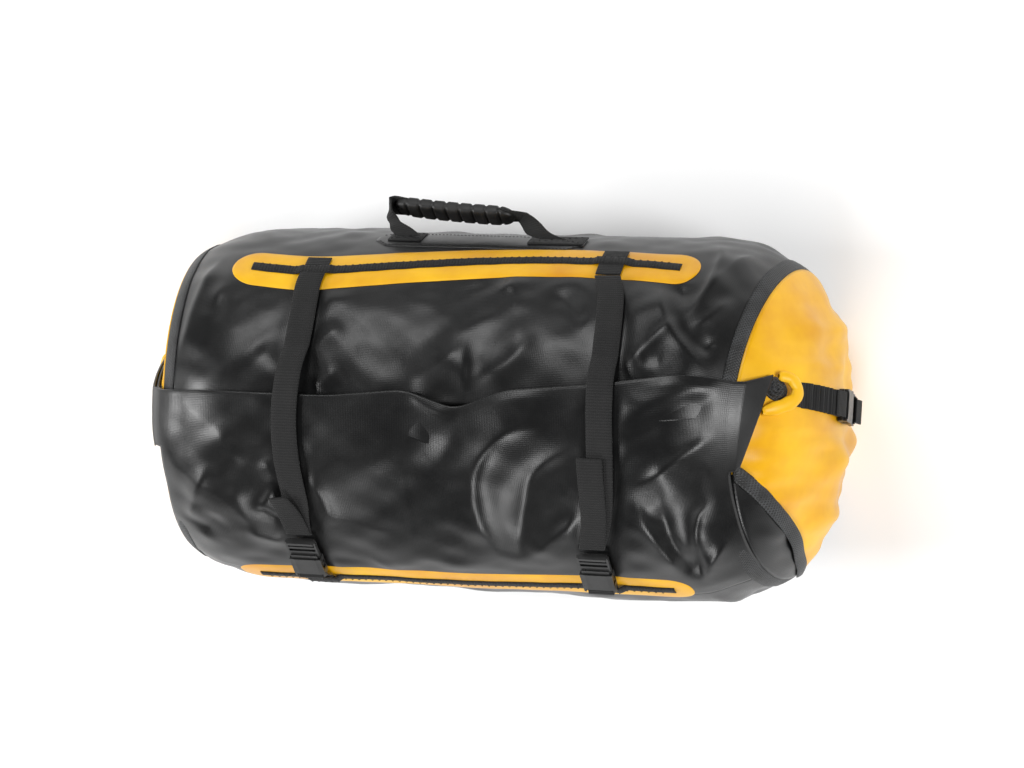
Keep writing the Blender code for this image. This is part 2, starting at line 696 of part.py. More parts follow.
def build_handle():
    pivot, away, across = handle_frame()

    def place(x, d, w):
        return tuple(np.array((x, 0.0, 0.0)) + pivot + away * d + across * w)

    low, high = GRIP_X
    ribs = 8
    pitch = (high - low) / ribs
    us = [low]
    for k in range(ribs):
        us += [low + pitch * (k + t) for t in (0.12, 0.30, 0.70, 0.88)]
    us.append(high)
    slot_w, slot_d = STRAP_WIDTH / 2 + 0.0009, 0.0012
    ds = (-GRIP_THICK / 2, -0.0045, -slot_d, slot_d, 0.0045, GRIP_THICK / 2)
    ws = (-GRIP_TALL / 2, -slot_w, -0.006, 0.006, slot_w, GRIP_TALL / 2)

    def filled(u, d, w):
        return abs(d) > slot_d or abs(w) > slot_w

    def warp(u, d, w):
        step = (u - low) / pitch
        raised = 1.0 if 0.2 < step % 1 < 0.8 else 0.80
        if abs(d) <= 0.003 or abs(w) > slot_w:
            raised = 1.0
        edge = math.sqrt(max(0.35, 1 - (w / (0.62 * GRIP_TALL)) ** 2)) if abs(d) > 0.003 else 1.0
        ends = 1 - 0.25 * smooth(1 - min(u - low, high - u) / (pitch * 0.35)) * (abs(d) > 0.003)
        return (u, d * raised * edge * ends, w)

    def grip_place(u, d, w):
        return place(u, HANDLE_REACH + d, w)

    cells("handle_grip", us, ds, ws, filled, "rubber", grip_place, warp, tuple(pivot))
    half = STRAP_WIDTH / 2
    left, right = TAB_X
    reach = HANDLE_REACH
    rows = [
        ((left, 0.0020, 0.0), (1, 0, 0), (0, 0, 1)),
        ((left - 0.004, 0.008, 0.0), (0.9, 0.1, 0.42), (-0.40, 0.05, 0.9)),
        ((left - 0.014, 0.015, 0.0), (0.55, 0.0, 0.83), (-0.80, 0.10, 0.55)),
        ((left - 0.0235, 0.0215, 0.0), (0.10, 0.0, 1.0), (-1.0, 0.0, 0.10)),
        ((left - 0.0245, 0.0285, 0.0), (0.0, 0.0, 1.0), (-0.80, 0.60, 0.0)),
        ((left - 0.0200, reach - 0.0001, 0.0), (0.0, 0.0, 1.0), (-0.15, 0.99, 0.0)),
        ((low - 0.001, reach, 0.0), (0, 0, 1), (0, 1, 0)),
        ((high + 0.001, reach, 0.0), (0, 0, 1), (0, 1, 0)),
        ((high + 0.010, reach - 0.0014, 0.0), (0, 0, 1), (0.25, 0.97, 0)),
        ((high + 0.022, reach - 0.0075, 0.0), (0.25, -0.1, 0.96), (0.50, 0.86, 0)),
        ((high + 0.036, reach - 0.0190, 0.0), (0.75, -0.1, 0.60), (0.35, 0.60, -0.60)),
        ((right - 0.0080, 0.0060, 0.0), (0.98, 0.0, 0.20), (0.05, 0.30, -0.95)),
        ((right, 0.0020, 0.0), (1, 0, 0), (0, 0, -1)),
    ]
    outer, inner = [], []
    for centre, wide, thick in rows:
        wide = np.array(wide, float)
        wide /= np.linalg.norm(wide)
        thick = np.array(thick, float)
        thick -= wide * float(np.dot(thick, wide))
        thick /= np.linalg.norm(thick)
        spots = [np.array(centre) + wide * half * k for k in (-0.98, 0.0, 0.98)]
        outer.append([place(*(s + thick * WEB / 2)) for s in spots])
        inner.append([place(*(s - thick * WEB / 2)) for s in spots])
    slab("handle_webbing", outer, inner, "webbing", pivot=tuple(pivot))
    for word, x0 in (("left", left), ("right", right)):
        rows = []
        base = PATCH + LAY + 2 * GAP
        for d, h in ((HANDLE_DEG - 5.0, base), (HANDLE_DEG - 0.5, base), (HANDLE_DEG + 5.0, base)):
            rows.append([(x0 + v, d, h) for v in (-0.017, 0.0, 0.017)])
        on_skin("handle_tab_" + word, rows, WEB, "webbing")
    xs = [-0.112, -0.104, -0.088, -0.060, 0.0, 0.050, 0.078, 0.092, 0.102]
    rows = []
    for x in xs:
        wide = 6.5 * min(1.0, 0.35 + (min(x + 0.112, 0.102 - x)) / 0.022)
        rows.append([(x, HANDLE_DEG + 2.0 + wide * k / 2, LAY) for k in range(-2, 3)])
    on_skin("handle_patch", rows, PATCH, "tarp")


def main():
    clear_scene()
    build_body()
    for side, word in ((1, "right"), (-1, "left")):
        build_end(side, word)
        build_end_straps(side, word)
        build_strap(side, word)
    for sign, word in ((1, "upper"), (-1, "lower")):
        build_lash(sign, word)
    build_closure()
    build_handle()


main()
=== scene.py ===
"""Looks of a waterproof roll-top duffel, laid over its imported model.

The frame is the part's own: metres, +X along the bag, +Y towards the handle, +Z up. Spots on the tube are
given as (length along X, angle from the top, height over the tube's face), and spots on an end panel as
(y, height over the tube's axis, height over the panel). Most of the sizes repeat those of the part's source.
"""

import math

import bpy
import numpy as np
from mathutils import Matrix, Vector


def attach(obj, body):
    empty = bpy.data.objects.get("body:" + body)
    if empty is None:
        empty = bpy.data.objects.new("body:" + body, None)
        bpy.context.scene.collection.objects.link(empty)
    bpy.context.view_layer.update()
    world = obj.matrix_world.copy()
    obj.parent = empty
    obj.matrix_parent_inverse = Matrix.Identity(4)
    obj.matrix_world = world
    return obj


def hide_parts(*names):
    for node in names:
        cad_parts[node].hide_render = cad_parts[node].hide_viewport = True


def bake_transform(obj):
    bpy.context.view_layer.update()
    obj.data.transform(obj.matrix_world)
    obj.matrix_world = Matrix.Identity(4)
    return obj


# The bag's shape
TUBE_RADIUS = 0.178
RIM_RADIUS = TUBE_RADIUS - 0.028
HALF_TUBE = 0.292
SHOULDER_LENGTH = 0.077
END_REACH = 0.102
AXIS_Z = 0.8 * TUBE_RADIUS
END_LIFT = 0.0025
RIM_X = HALF_TUBE + 0.022
RIM_LEAN = {1: 0.042, -1: 0.017}
APEX_X = {1: RIM_X + 0.032, -1: RIM_X + 0.006}
DOME_POWER = 2.6
DOME_LANDS = 0.96
WALL = 0.0015
PER_DEG = TUBE_RADIUS * math.pi / 180

# The closure
HINGE_DEG = -28.0
PANEL_DEG = -61.0
MOUTH_DEG = (-25.0, 10.0)
MOUTH_HALF = HALF_TUBE - 0.042
ROLL_WIDTH = 0.038
PLY = 0.0014
PLY_GAP = 0.0006
ROLL_PLIES = 4
LAY = 0.0006
TIP_REACH = 0.04
END_DROP = {1: (0.0, 0.0), -1: (-0.008, -0.028)}
TIP_Y = 0.061
TIP_WIDTH = 0.03
TIP_HIGH = 0.113
TIP_FROM_DEG = -9.0

# Webbing, strips and buckles
WEB = 0.0015
PATCH = 0.0012
STRAP_WIDTH = 0.025
STRAP_X = {1: HALF_TUBE - 0.153, -1: HALF_TUBE - 0.137}
STRAP_BOW = {1: 0.017, -1: 0.0}
STRAP_HINGE_DEG = 57.0
BUCKLE_DEG = -43.5
BUCKLE_RISE = 0.0052
SOCKET_LENGTH = 0.03
BUCKLE_HEIGHT = 0.01
PLUG_LENGTH = 0.024
STRAP_STOP_DEG = BUCKLE_DEG + (PLUG_LENGTH + 0.001) / PER_DEG + 1.2
LASH_HALF = HALF_TUBE - 0.06
LASH_WIDTH = 0.05
LASH_WEB_HALF = LASH_HALF - 0.019
LASH_WEB_WIDTH = 0.012
LASH_X = -0.006
END_SWING = (0.0435, 0.08)
END_BUCKLE = (0.017, -0.01)
END_SKEW_DEG = 14.0
BUCKLE_REST = 0.0022

# The handle
HANDLE_DEG = 76.0
HANDLE_DROP_DEG = 35.0
HANDLE_REACH = 0.031
GRIP_X = (-0.097, 0.027)
TAB_X = (-0.082, 0.086)
PATCH_X = (-0.112, 0.1)

SIDES = ((1, "right"), (-1, "left"))

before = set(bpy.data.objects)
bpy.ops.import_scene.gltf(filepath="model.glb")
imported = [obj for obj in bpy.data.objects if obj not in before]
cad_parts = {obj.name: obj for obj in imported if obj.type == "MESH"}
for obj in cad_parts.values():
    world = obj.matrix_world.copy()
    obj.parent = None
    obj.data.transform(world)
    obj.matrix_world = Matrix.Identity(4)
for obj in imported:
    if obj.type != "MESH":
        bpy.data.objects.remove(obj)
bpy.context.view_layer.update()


# Shape of the bag, on arrays


def smooth(t):
    t = np.clip(t, 0.0, 1.0)
    return t * t * (3 - 2 * t)


def rim_x(side, deg):
    lean = np.where(np.asarray(side) > 0, RIM_LEAN[1], RIM_LEAN[-1])
    return RIM_X - lean * (0.5 + 0.5 * np.cos(np.radians(deg))) ** 2


def skin(x, deg, high):
    x, deg, high = np.broadcast_arrays(np.asarray(x, float), deg, high)
    side = np.where(x > 0, 1.0, -1.0)
    past = np.clip((np.abs(x) - HALF_TUBE) / SHOULDER_LENGTH + 1, 0, None)
    r = TUBE_RADIUS - (TUBE_RADIUS - RIM_RADIUS) * past**2 + high
    a = np.radians(deg)
    late = smooth((np.abs(x) - HALF_TUBE) / END_REACH + 1)
    along = x + side * (rim_x(side, deg) - HALF_TUBE) * late
    rest = END_LIFT * late - high
    return np.stack([along, r * np.sin(a), np.maximum(AXIS_Z + r * np.cos(a), rest)], axis=-1)


def dome(side, rho, deg, high):
    rho, deg, high = np.broadcast_arrays(np.asarray(rho, float), deg, high)
    a = np.radians(deg)
    w = rho**DOME_POWER
    x = side * (rim_x(side, deg) * w + APEX_X[side] * (1 - w))
    rest = END_LIFT * smooth((rho - DOME_LANDS) / (1 - DOME_LANDS))
    r = RIM_RADIUS * rho
    z = np.maximum(AXIS_Z + r * np.cos(a), rest)
    slope = DOME_POWER * (APEX_X[side] - rim_x(side, deg)) / RIM_RADIUS * rho ** (DOME_POWER - 1)
    tilt = np.arctan(slope)
    out = np.sin(tilt)
    normal = np.stack([side * np.cos(tilt), out * np.sin(a), out * np.cos(a)], axis=-1)
    return np.stack([x, r * np.sin(a), z], axis=-1) + normal * high[..., None]


def end_point(side, y, high, out):
    return dome(side, np.hypot(y, high) / RIM_RADIUS, np.degrees(np.arctan2(y, high)), out)


def cover(x, deg, crease, high):
    """The closure: on the tube as far as the seam, then bent over the end panel and drawn in to a corner."""
    side = np.where(x > 0, 1, -1)
    share = (crease - deg) / (crease - TIP_FROM_DEG)
    past = np.clip((np.abs(x) - HALF_TUBE) / TIP_REACH, 0, 1) * np.clip(1 - 0.92 * share, 0, 1)
    a = np.radians(deg)
    y = RIM_RADIUS * np.sin(a)
    up = RIM_RADIUS * np.cos(a)
    y = y + (TIP_Y + np.where(side > 0, *(END_DROP[s][0] for s in (1, -1))) - share * TIP_WIDTH - y) * past
    up = up + (TIP_HIGH + np.where(side > 0, *(END_DROP[s][1] for s in (1, -1))) - up) * past
    bent = {s: end_point(s, y, up, high * (1 - 0.35 * past)) for s in (1, -1)}
    on_end = np.where((side == 1)[..., None], bent[1], bent[-1])
    return np.where((np.abs(x) > HALF_TUBE)[..., None], on_end, skin(x, deg, high))


def even(path, count):
    """A smooth path through some spots, with its points evenly spaced."""
    path = np.asarray(path, float)
    padded = np.vstack([2 * path[0] - path[1], path, 2 * path[-1] - path[-2]])
    dense = []
    for k in range(1, len(padded) - 2):
        p0, p1, p2, p3 = padded[k - 1 : k + 3]
        for t in np.linspace(0, 1, 13)[: 12 if k < len(padded) - 3 else 13]:
            square = 2 * p0 - 5 * p1 + 4 * p2 - p3
            cube = 3 * p1 - p0 - 3 * p2 + p3
            dense.append(0.5 * (2 * p1 + (p2 - p0) * t + square * t * t + cube * t**3))
    dense = np.array(dense)
    run = np.concatenate([[0], np.cumsum(np.linalg.norm(np.diff(dense, axis=0), axis=1))])
    spots = np.linspace(0, run[-1], count)
    return np.stack([np.interp(spots, run, dense[:, k]) for k in range(dense.shape[1])], axis=-1), spots


# Folds in the cloth. Each is a line of (length, angle) spots, a height, and how far it spreads to its left
# and its right.

FOLDS = (
    # upper wall, left to right
    (((-0.25, 68), (-0.262, 50), (-0.27, 34), (-0.274, 20)), 0.0045, 0.012, 0.006),
    (((-0.246, 38), (-0.236, 60)), 0.0035, 0.01, 0.008),
    (((-0.235, 30), (-0.225, 52), (-0.205, 66)), -0.0025, 0.02, 0.014),
    (((-0.198, 26), (-0.164, 19)), -0.003, 0.016, 0.012),
    (((-0.146, 22), (-0.128, 29), (-0.108, 35)), 0.0045, 0.01, 0.022),
    (((-0.134, 13), (-0.108, 20)), 0.0035, 0.008, 0.014),
    (((-0.11, 40), (-0.065, 28), (-0.034, 18)), -0.003, 0.02, 0.026),
    (((-0.04, 17), (-0.012, 21), (0.016, 29)), 0.004, 0.009, 0.024),
    (((0.018, 13), (0.013, 32)), 0.0042, 0.02, 0.008),
    (((0.024, 17), (0.062, 24), (0.082, 34)), 0.004, 0.009, 0.016),
    (((0.04, 48), (0.053, 57)), 0.003, 0.008, 0.01),
    (((0.085, 52), (0.112, 44), (0.134, 37)), -0.004, 0.016, 0.014),
    (((0.168, 22), (0.196, 32), (0.222, 41)), 0.0055, 0.008, 0.018),
    (((0.186, 26), (0.212, 27)), -0.002, 0.01, 0.01),
    (((0.192, 56), (0.2, 44), (0.218, 35), (0.244, 28), (0.27, 22)), 0.0065, 0.005, 0.026),
    (((0.212, 72), (0.213, 58), (0.222, 44)), -0.0075, 0.012, 0.01),
    (((0.226, 84), (0.239, 72), (0.24, 54), (0.228, 40)), 0.006, 0.008, 0.007),
    (((0.262, 86), (0.26, 74), (0.246, 56), (0.236, 46)), 0.0055, 0.009, 0.007),
    (((0.23, 38), (0.252, 43), (0.268, 54)), 0.004, 0.006, 0.008),
    (((0.25, 30), (0.262, 36)), -0.004, 0.008, 0.008),
    # lower wall and closure, left to right
    (((-0.272, -38), (-0.256, -24), (-0.236, -10)), 0.006, 0.012, 0.008),
    (((-0.26, -44), (-0.236, -30)), -0.004, 0.012, 0.01),
    (((-0.228, 2), (-0.204, -12)), 0.003, 0.012, 0.009),
    (((-0.216, -16), (-0.206, -34)), 0.003, 0.01, 0.012),
    (((-0.196, -28), (-0.166, -16)), 0.006, 0.006, 0.018),
    (((-0.196, -25), (-0.184, -29), (-0.168, -31)), -0.005, 0.006, 0.006),
    (((-0.214, -36), (-0.19, -38), (-0.174, -42)), 0.0035, 0.009, 0.012),
    (((-0.144, -12), (-0.126, -19), (-0.118, -32)), 0.0045, 0.007, 0.016),
    (((-0.182, -8), (-0.166, -18)), -0.0035, 0.005, 0.007),
    (((-0.1, -46), (-0.06, -57), (-0.03, -66)), 0.004, 0.012, 0.014),
    (((-0.036, 14), (-0.012, 9), (0.016, 7)), 0.004, 0.012, 0.006),
    (((0.016, 7), (0.004, -4), (-0.024, -14)), 0.0035, 0.018, 0.022),
    (((0.112, 5), (0.074, 4), (0.046, -2), (0.031, -12), (0.031, -26), (0.047, -44)), 0.007, 0.006, 0.022),
    (((0.146, 1), (0.11, -4), (0.086, -10), (0.074, -22), (0.06, -44)), -0.006, 0.014, 0.011),
    (((0.142, -20), (0.106, -31), (0.066, -44)), 0.0055, 0.02, 0.008),
    (((0.17, 10), (0.23, 15), (0.296, 21)), 0.004, 0.01, 0.012),
    (((0.166, 1), (0.232, 9), (0.29, 17)), -0.0055, 0.01, 0.01),
    (((0.182, -13), (0.216, -7), (0.252, -1), (0.292, 5)), 0.007, 0.007, 0.02),
    (((0.184, -12), (0.189, -20), (0.206, -33), (0.234, -53)), 0.007, 0.004, 0.02),
    (((0.214, -12), (0.216, -28), (0.238, -54)), -0.006, 0.013, 0.012),
    (((0.276, -17), (0.25, -26), (0.238, -52)), -0.006, 0.007, 0.005),
    (((0.239, -53), (0.258, -42), (0.284, -33)), 0.006, 0.006, 0.012),
    (((0.306, -32), (0.292, -46), (0.272, -66)), 0.0035, 0.007, 0.007),
    # round the sides and the end pleats that a plain view doesn't show
    (((-0.262, 96), (-0.236, 108), (-0.205, 116)), 0.005, 0.01, 0.014),
    (((-0.27, 118), (-0.238, 124)), -0.0045, 0.008, 0.01),
    (((-0.15, 92), (-0.12, 108), (-0.06, 120)), 0.0045, 0.012, 0.022),
    (((0.07, 94), (0.1, 110), (0.16, 122)), 0.0045, 0.018, 0.014),
    (((0.19, 98), (0.236, 106), (0.274, 102)), 0.005, 0.009, 0.014),
    (((0.222, 126), (0.266, 118)), -0.0045, 0.01, 0.01),
    (((-0.268, -84), (-0.24, -96), (-0.19, -104)), 0.005, 0.012, 0.016),
    (((-0.262, -66), (-0.244, -78)), -0.004, 0.009, 0.009),
    (((-0.11, -88), (-0.05, -98), (0.02, -96)), 0.0045, 0.016, 0.02),
    (((0.09, -90), (0.13, -104), (0.18, -118)), 0.0045, 0.014, 0.018),
    (((0.236, -60), (0.25, -84), (0.262, -104)), 0.005, 0.01, 0.01),
    (((0.276, -76), (0.24, -100)), -0.0045, 0.01, 0.012),
)


def fold_line(spots):
    return even([(px, pd * PER_DEG) for px, pd in spots], 3 * len(spots))[0]


def fold_height(x, s, line, high, left, right):
    """One fold: sharp along its line, spreading to each side, and dying away at both ends."""
    steps = np.linalg.norm(np.diff(line, axis=0), axis=1)
    total = steps.sum()
    margin = 3 * max(left, right)
    low, top = line.min(axis=0) - margin, line.max(axis=0) + margin
    close = (x > low[0]) & (x < top[0]) & (s > low[1]) & (s < top[1])
    result = np.zeros(x.shape)
    if not close.any():
        return result
    x, s = x[close], s[close]
    near = np.full(x.shape, 1e9)
    side = np.zeros(x.shape)
    along = np.zeros(x.shape)
    before = 0.0
    for a, b, step in zip(line[:-1], line[1:], steps):
        d = (b - a) / step
        t = np.clip((x - a[0]) * d[0] + (s - a[1]) * d[1], 0, step)
        dx, ds = x - a[0] - d[0] * t, s - a[1] - d[1] * t
        dist = np.hypot(dx, ds)
        closer = dist < near
        near = np.where(closer, dist, near)
        side = np.where(closer, d[0] * ds - d[1] * dx, side)
        along = np.where(closer, (before + t) / total, along)
        before += step
    width = right + (left - right) * smooth(0.5 + side / 0.006)
    shape = np.exp(-((np.sqrt((near / width) ** 2 + 0.008) - 0.0894) ** 1.2))
    result[close] = high * shape * smooth(along / 0.35 + 0.05) * smooth((1 - along) / 0.35 + 0.05)
    return result


def ripples(x, s, size, seed):
    """Smooth random cloth undulation, about -1 to 1."""
    rng = np.random.default_rng(seed)
    total = np.zeros(x.shape)
    for _ in range(14):
        turn = rng.uniform(0, math.pi)
        k = 2 * math.pi / (size * rng.uniform(0.6, 1.8))
        phase = rng.uniform(0, 2 * math.pi)
        total += np.sin(k * (x * math.cos(turn) + s * math.sin(turn)) + phase) / 3.7
    return total


LASH_SPOTS = {
    1: (
        (-0.24, 59), (-0.205, 55), (-0.16, 54.5), (-0.11, 57),
        (-0.05, 60), (0.03, 63.5), (0.13, 65), (0.23, 62),
    ),
    -1: (
        (-0.24, -64), (-0.16, -62.5), (-0.08, -60.5), (-0.02, -61.5),
        (0.05, -60), (0.14, -57), (0.23, -58),
    ),
}


def lash_deg(x, sign):
    """The lash strips wander a little along the bag."""
    xs, ds = zip(*LASH_SPOTS[sign])
    fine = np.linspace(xs[0] - 0.03, xs[-1] + 0.03, 61)
    rough = np.interp(fine, xs, ds)
    soft = np.convolve(np.pad(rough, 5, mode="edge"), np.ones(11) / 11, mode="valid")
    return np.interp(x, fine, soft)


# Every fold is drawn at this share of its height, and spreads at least this far to each side.
FOLD_DEPTH = 0.85
NARROWEST = 0.007
FOLD_LINES = [
    (fold_line(spots), FOLD_DEPTH * high, max(left, NARROWEST), max(right, NARROWEST))
    for spots, high, left, right in FOLDS
]


def relief(x, deg):
    """How far the cloth stands out from, or sinks into, the plain tube."""
    x, deg = np.broadcast_arrays(np.asarray(x, float), np.asarray(deg, float))
    deg = (deg + 180) % 360 - 180
    s = deg * PER_DEG
    total = np.zeros(x.shape)
    for line, high, left, right in FOLD_LINES:
        total += fold_height(x, s, line, high, left, right)
    total += 0.0012 * ripples(x, s, 0.16, 3)
    crumple = np.abs(ripples(x, s, 0.13, 8))
    total += 0.0014 * (0.45 - np.sqrt(crumple**2 + 0.004))
    total += 0.0005 * ripples(x, s, 0.045, 5)
    for sign in (1, -1):
        off = np.abs(deg - lash_deg(x, sign)) * PER_DEG
        held = (1 - smooth((off - 0.02) / 0.02)) * (1 - smooth((np.abs(x - LASH_X) - LASH_HALF) / 0.02))
        total *= 1 - 0.8 * held
    off = np.maximum(np.abs(deg - 78) * PER_DEG - 0.02, np.abs(x + 0.005) - 0.11)
    total *= 1 - 0.85 * (1 - smooth(off / 0.02))
    seam = smooth((HALF_TUBE - np.abs(x)) / 0.03)
    total *= 0.1 + 0.9 * seam
    total *= 1 - smooth((np.abs(deg) - 118) / 14)
    for side in (1, -1):
        near = np.abs(x - strap_x(side, deg)) - STRAP_WIDTH / 2
        under = (1 - smooth(near / 0.014)) * smooth((STRAP_HINGE_DEG + 8 - deg) / 6) * smooth((deg + 66) / 6)
        total = total * (1 - 0.75 * under) - 0.0006 * under
    return total


# Meshes and materials


def add_mesh(name, points, faces, cloth):
    mesh = bpy.data.meshes.new(name)
    mesh.from_pydata([tuple(p) for p in points], [], faces)
    mesh.attributes.new("cloth", "FLOAT_VECTOR", "POINT").data.foreach_set("vector", np.ravel(cloth))
    mesh.polygons.foreach_set("use_smooth", [True] * len(mesh.polygons))
    obj = bpy.data.objects.new(name, mesh)
    bpy.context.scene.collection.objects.link(obj)
    return obj


def flat_spots(along, across):
    return np.stack(np.broadcast_arrays(along, across), axis=-1)


def closed(rows):
    """The rows round a tube, with the first one repeated at the end."""
    return np.concatenate([rows, rows[:1]])


def grid(name, points, cloth, keep=None, wrap=False):
    """A sheet from rows of points. cloth holds the matching spots on the flat cloth, in metres."""
    points = np.asarray(points, float)
    rows, cols = points.shape[:2]
    spans = cols if wrap else cols - 1
    cells = [(i, j) for i in range(rows - 1) for j in range(spans) if keep is None or keep[i, j]]
    faces = [
        (i * cols + j, (i + 1) * cols + j, (i + 1) * cols + (j + 1) % cols, i * cols + (j + 1) % cols)
        for i, j in cells
    ]
    used = sorted({c for face in faces for c in face})
    renamed = {c: k for k, c in enumerate(used)}
    flat = np.zeros((rows * cols, 3))
    flat[:, :2] = np.asarray(cloth, float).reshape(-1, 2)
    faces = [tuple(renamed[c] for c in face) for face in faces]
    return add_mesh(name, points.reshape(-1, 3)[used], faces, flat[used])


def thicken(obj, thick, offset=-1.0):
    mod = obj.modifiers.new("thick", "SOLIDIFY")
    mod.thickness = thick
    mod.offset = offset
    return obj


def finish_piece(obj, body, mat, slot, *nodes):
    obj.data.materials.append(mat)
    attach(obj, body)
    if nodes:
        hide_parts(*nodes)


class Nodes:
    """A short way to write a material's node tree."""

    def __init__(self, name, rough, spec):
        self.mat = bpy.data.materials.new(name)
        self.mat.use_nodes = True
        self.tree = self.mat.node_tree
        self.bsdf = self.tree.nodes["Principled BSDF"]
        self.bsdf.inputs["Roughness"].default_value = rough
        self.bsdf.inputs["Specular IOR Level"].default_value = spec

    def add(self, kind, **inputs):
        node = self.tree.nodes.new(kind)
        for key, value in inputs.items():
            self.put(node, key.replace("_", " "), value)
        return node

    def put(self, node, key, value):
        socket = node.inputs[int(key[1:])] if key[0] == "i" and key[1:].isdigit() else node.inputs[key]
        if isinstance(value, bpy.types.NodeSocket):
            self.tree.links.new(value, socket)
        else:
            socket.default_value = value

    def math(self, operation, a, b=0.0, c=0.0):
        node = self.add("ShaderNodeMath")
        node.operation = operation
        for k, value in enumerate((a, b, c)):
            self.put(node, f"i{k}", value)
        return node.outputs[0]

    def cloth(self):
        """The spot on the flat cloth, as (along, across)."""
        node = self.add("ShaderNodeAttribute")
        node.attribute_name = "cloth"
        parts = self.add("ShaderNodeSeparateXYZ", Vector=node.outputs["Vector"])
        return parts.outputs[0], parts.outputs[1]

    def diagonals(self, pitch):
        """Two sets of ridges, one on each diagonal of the cloth."""
        u, v = self.cloth()
        return [self.wave(self.math(way, u, v), pitch) for way in ("ADD", "SUBTRACT")]

    def noise(self, vector, scale, detail=3.0, rough=0.5):
        node = self.add("ShaderNodeTexNoise", Vector=vector, Scale=scale, Detail=detail, Roughness=rough)
        return node.outputs[0]

    def place(self):
        return self.add("ShaderNodeTexCoord").outputs["Object"]

    def wave(self, value, pitch):
        return self.math("SINE", self.math("MULTIPLY", value, 2 * math.pi / pitch))

    def span(self, value, low, high, start=0.0, stop=1.0):
        node = self.add("ShaderNodeMapRange", Value=value)
        for key, number in (("From Min", start), ("From Max", stop), ("To Min", low), ("To Max", high)):
            node.inputs[key].default_value = number
        return node.outputs[0]

    def blend(self, share, a, b):
        node = self.add("ShaderNodeMix")
        node.data_type = "RGBA"
        self.put(node, "i0", share)
        for k, value in ((6, a), (7, b)):
            self.put(node, f"i{k}", value)
        return node.outputs[2]

    def bump(self, height, distance):
        return self.add("ShaderNodeBump", Height=height, Strength=1.0, Distance=distance).outputs[0]

    def done(self, colour=None, rough=None, normal=None):
        for key, value in (("Base Color", colour), ("Roughness", rough), ("Normal", normal)):
            if value is not None:
                self.put(self.bsdf, key, value)
        return self.mat


def grey(value, warm=0.0):
    return (value * (1 + warm), value, value * (1 - warm), 1.0)


def tarp_material():
    """Black coated cloth: the weave shows through the coating as a fine diagonal grid."""
    n = Nodes("black_tarp", 0.36, 0.42)
    weave = n.math("MULTIPLY", *n.diagonals(0.0034))
    grain = n.noise(n.place(), 900.0, 2.0)
    wear_and_edge_glint = n.noise(n.place(), 9.0, 4.0, 0.6)
    scuff = n.noise(n.place(), 60.0, 5.0, 0.7)
    normal = n.bump(n.math("ADD", weave, grain), 0.00003)
    colour = n.blend(n.span(wear_and_edge_glint, 0.0, 1.0, 0.35, 0.7), grey(0.003, -0.06), grey(0.005, 0.0))
    rough = n.math("ADD", n.span(wear_and_edge_glint, 0.33, 0.41, 0.3, 0.7), n.span(scuff, -0.03, 0.04, 0.3, 0.8))
    return n.done(colour, rough, normal)


def yellow_material(name, gloss):
    """Yellow coated cloth, slightly glossy, deeper in colour where it is thin."""
    n = Nodes(name, gloss, 0.32)
    cloudy = n.noise(n.place(), 11.0, 4.0, 0.55)
    grain = n.noise(n.place(), 700.0, 2.0)
    weave = n.math("MULTIPLY", *n.diagonals(0.0026))
    deep, bright = (0.6, 0.26, 0.002, 1.0), (0.82, 0.46, 0.004, 1.0)
    colour = n.blend(n.span(cloudy, 0.0, 1.0, 0.32, 0.68), deep, bright)
    normal = n.bump(n.math("MULTIPLY_ADD", weave, 0.5, grain), 0.00003)
    n.bsdf.inputs["Coat Weight"].default_value = 0.06
    n.bsdf.inputs["Coat Roughness"].default_value = 0.22
    rough = n.span(cloudy, gloss - 0.05, gloss + 0.08, 0.3, 0.7)
    return n.done(colour, rough, normal)


def webbing_material(name, pitch=0.0026, value=0.0055):
    """Woven webbing: ribs across it, each broken by the warp threads; the grooves are painted darker and the
    crests paler, painted shade and highlight.
    """
    n = Nodes(name, 0.78, 0.35)
    u, v = n.cloth()
    row = n.wave(u, pitch)
    shifted = n.math("MULTIPLY", n.math("SIGN", row), 0.25 * math.pi)
    warp = n.math("SINE", n.math("ADD", n.math("MULTIPLY", v, 2 * math.pi / 0.0021), shifted))
    knit = n.math("MULTIPLY_ADD", warp, 0.45, row)
    fuzz = n.noise(n.place(), 1400.0, 2.0)
    normal = n.bump(n.math("MULTIPLY_ADD", fuzz, 0.6, knit), 0.00014)
    dust = n.noise(n.place(), 40.0, 4.0)
    # The colour follows the ribs' height: painted shade in the grooves and painted highlight on the crests.
    colour = n.blend(n.span(knit, 0.0, 1.0, -1.2, 1.2), grey(value * 0.45), grey(value * 1.7))
    colour = n.blend(n.span(dust, 0.0, 0.25, 0.5, 0.8), colour, grey(value * 3.0, 0.04))
    n.bsdf.inputs["Sheen Weight"].default_value = 0.03
    n.bsdf.inputs["Sheen Roughness"].default_value = 0.5
    return n.done(colour, None, normal)


def tape_material():
    """Seam tape: black, cross-stitched with a grey mesh."""
    n = Nodes("seam_tape_mesh", 0.6, 0.4)
    mesh = n.math("MAXIMUM", *n.diagonals(0.0034))
    patch = n.noise(n.place(), 45.0, 3.0)
    lines = n.math("MULTIPLY", n.span(mesh, 0.0, 1.0, 0.55, 0.95), n.span(patch, 0.1, 1.0, 0.38, 0.62))
    colour = n.blend(lines, grey(0.006), grey(0.06, -0.05))
    return n.done(colour, n.span(lines, 0.45, 0.7), n.bump(mesh, 0.00015))


def plastic_material():
    """Moulded acetal: fine matt grain, and convex edges painted paler as a painted highlight."""
    n = Nodes("buckle_plastic", 0.33, 0.5)
    grain = n.noise(n.place(), 2200.0, 2.0)
    marks = n.noise(n.place(), 120.0, 5.0, 0.7)
    edge = n.add("ShaderNodeNewGeometry").outputs["Pointiness"]
    # Convex edges painted paler: painted highlight along the buckles' edges.
    wear_and_edge_glint = n.span(edge, 0.0, 1.0, 0.51, 0.6)
    colour = n.blend(wear_and_edge_glint, grey(0.006), grey(0.0156))
    return n.done(colour, n.span(marks, 0.27, 0.43, 0.35, 0.7), n.bump(grain, 0.000006))


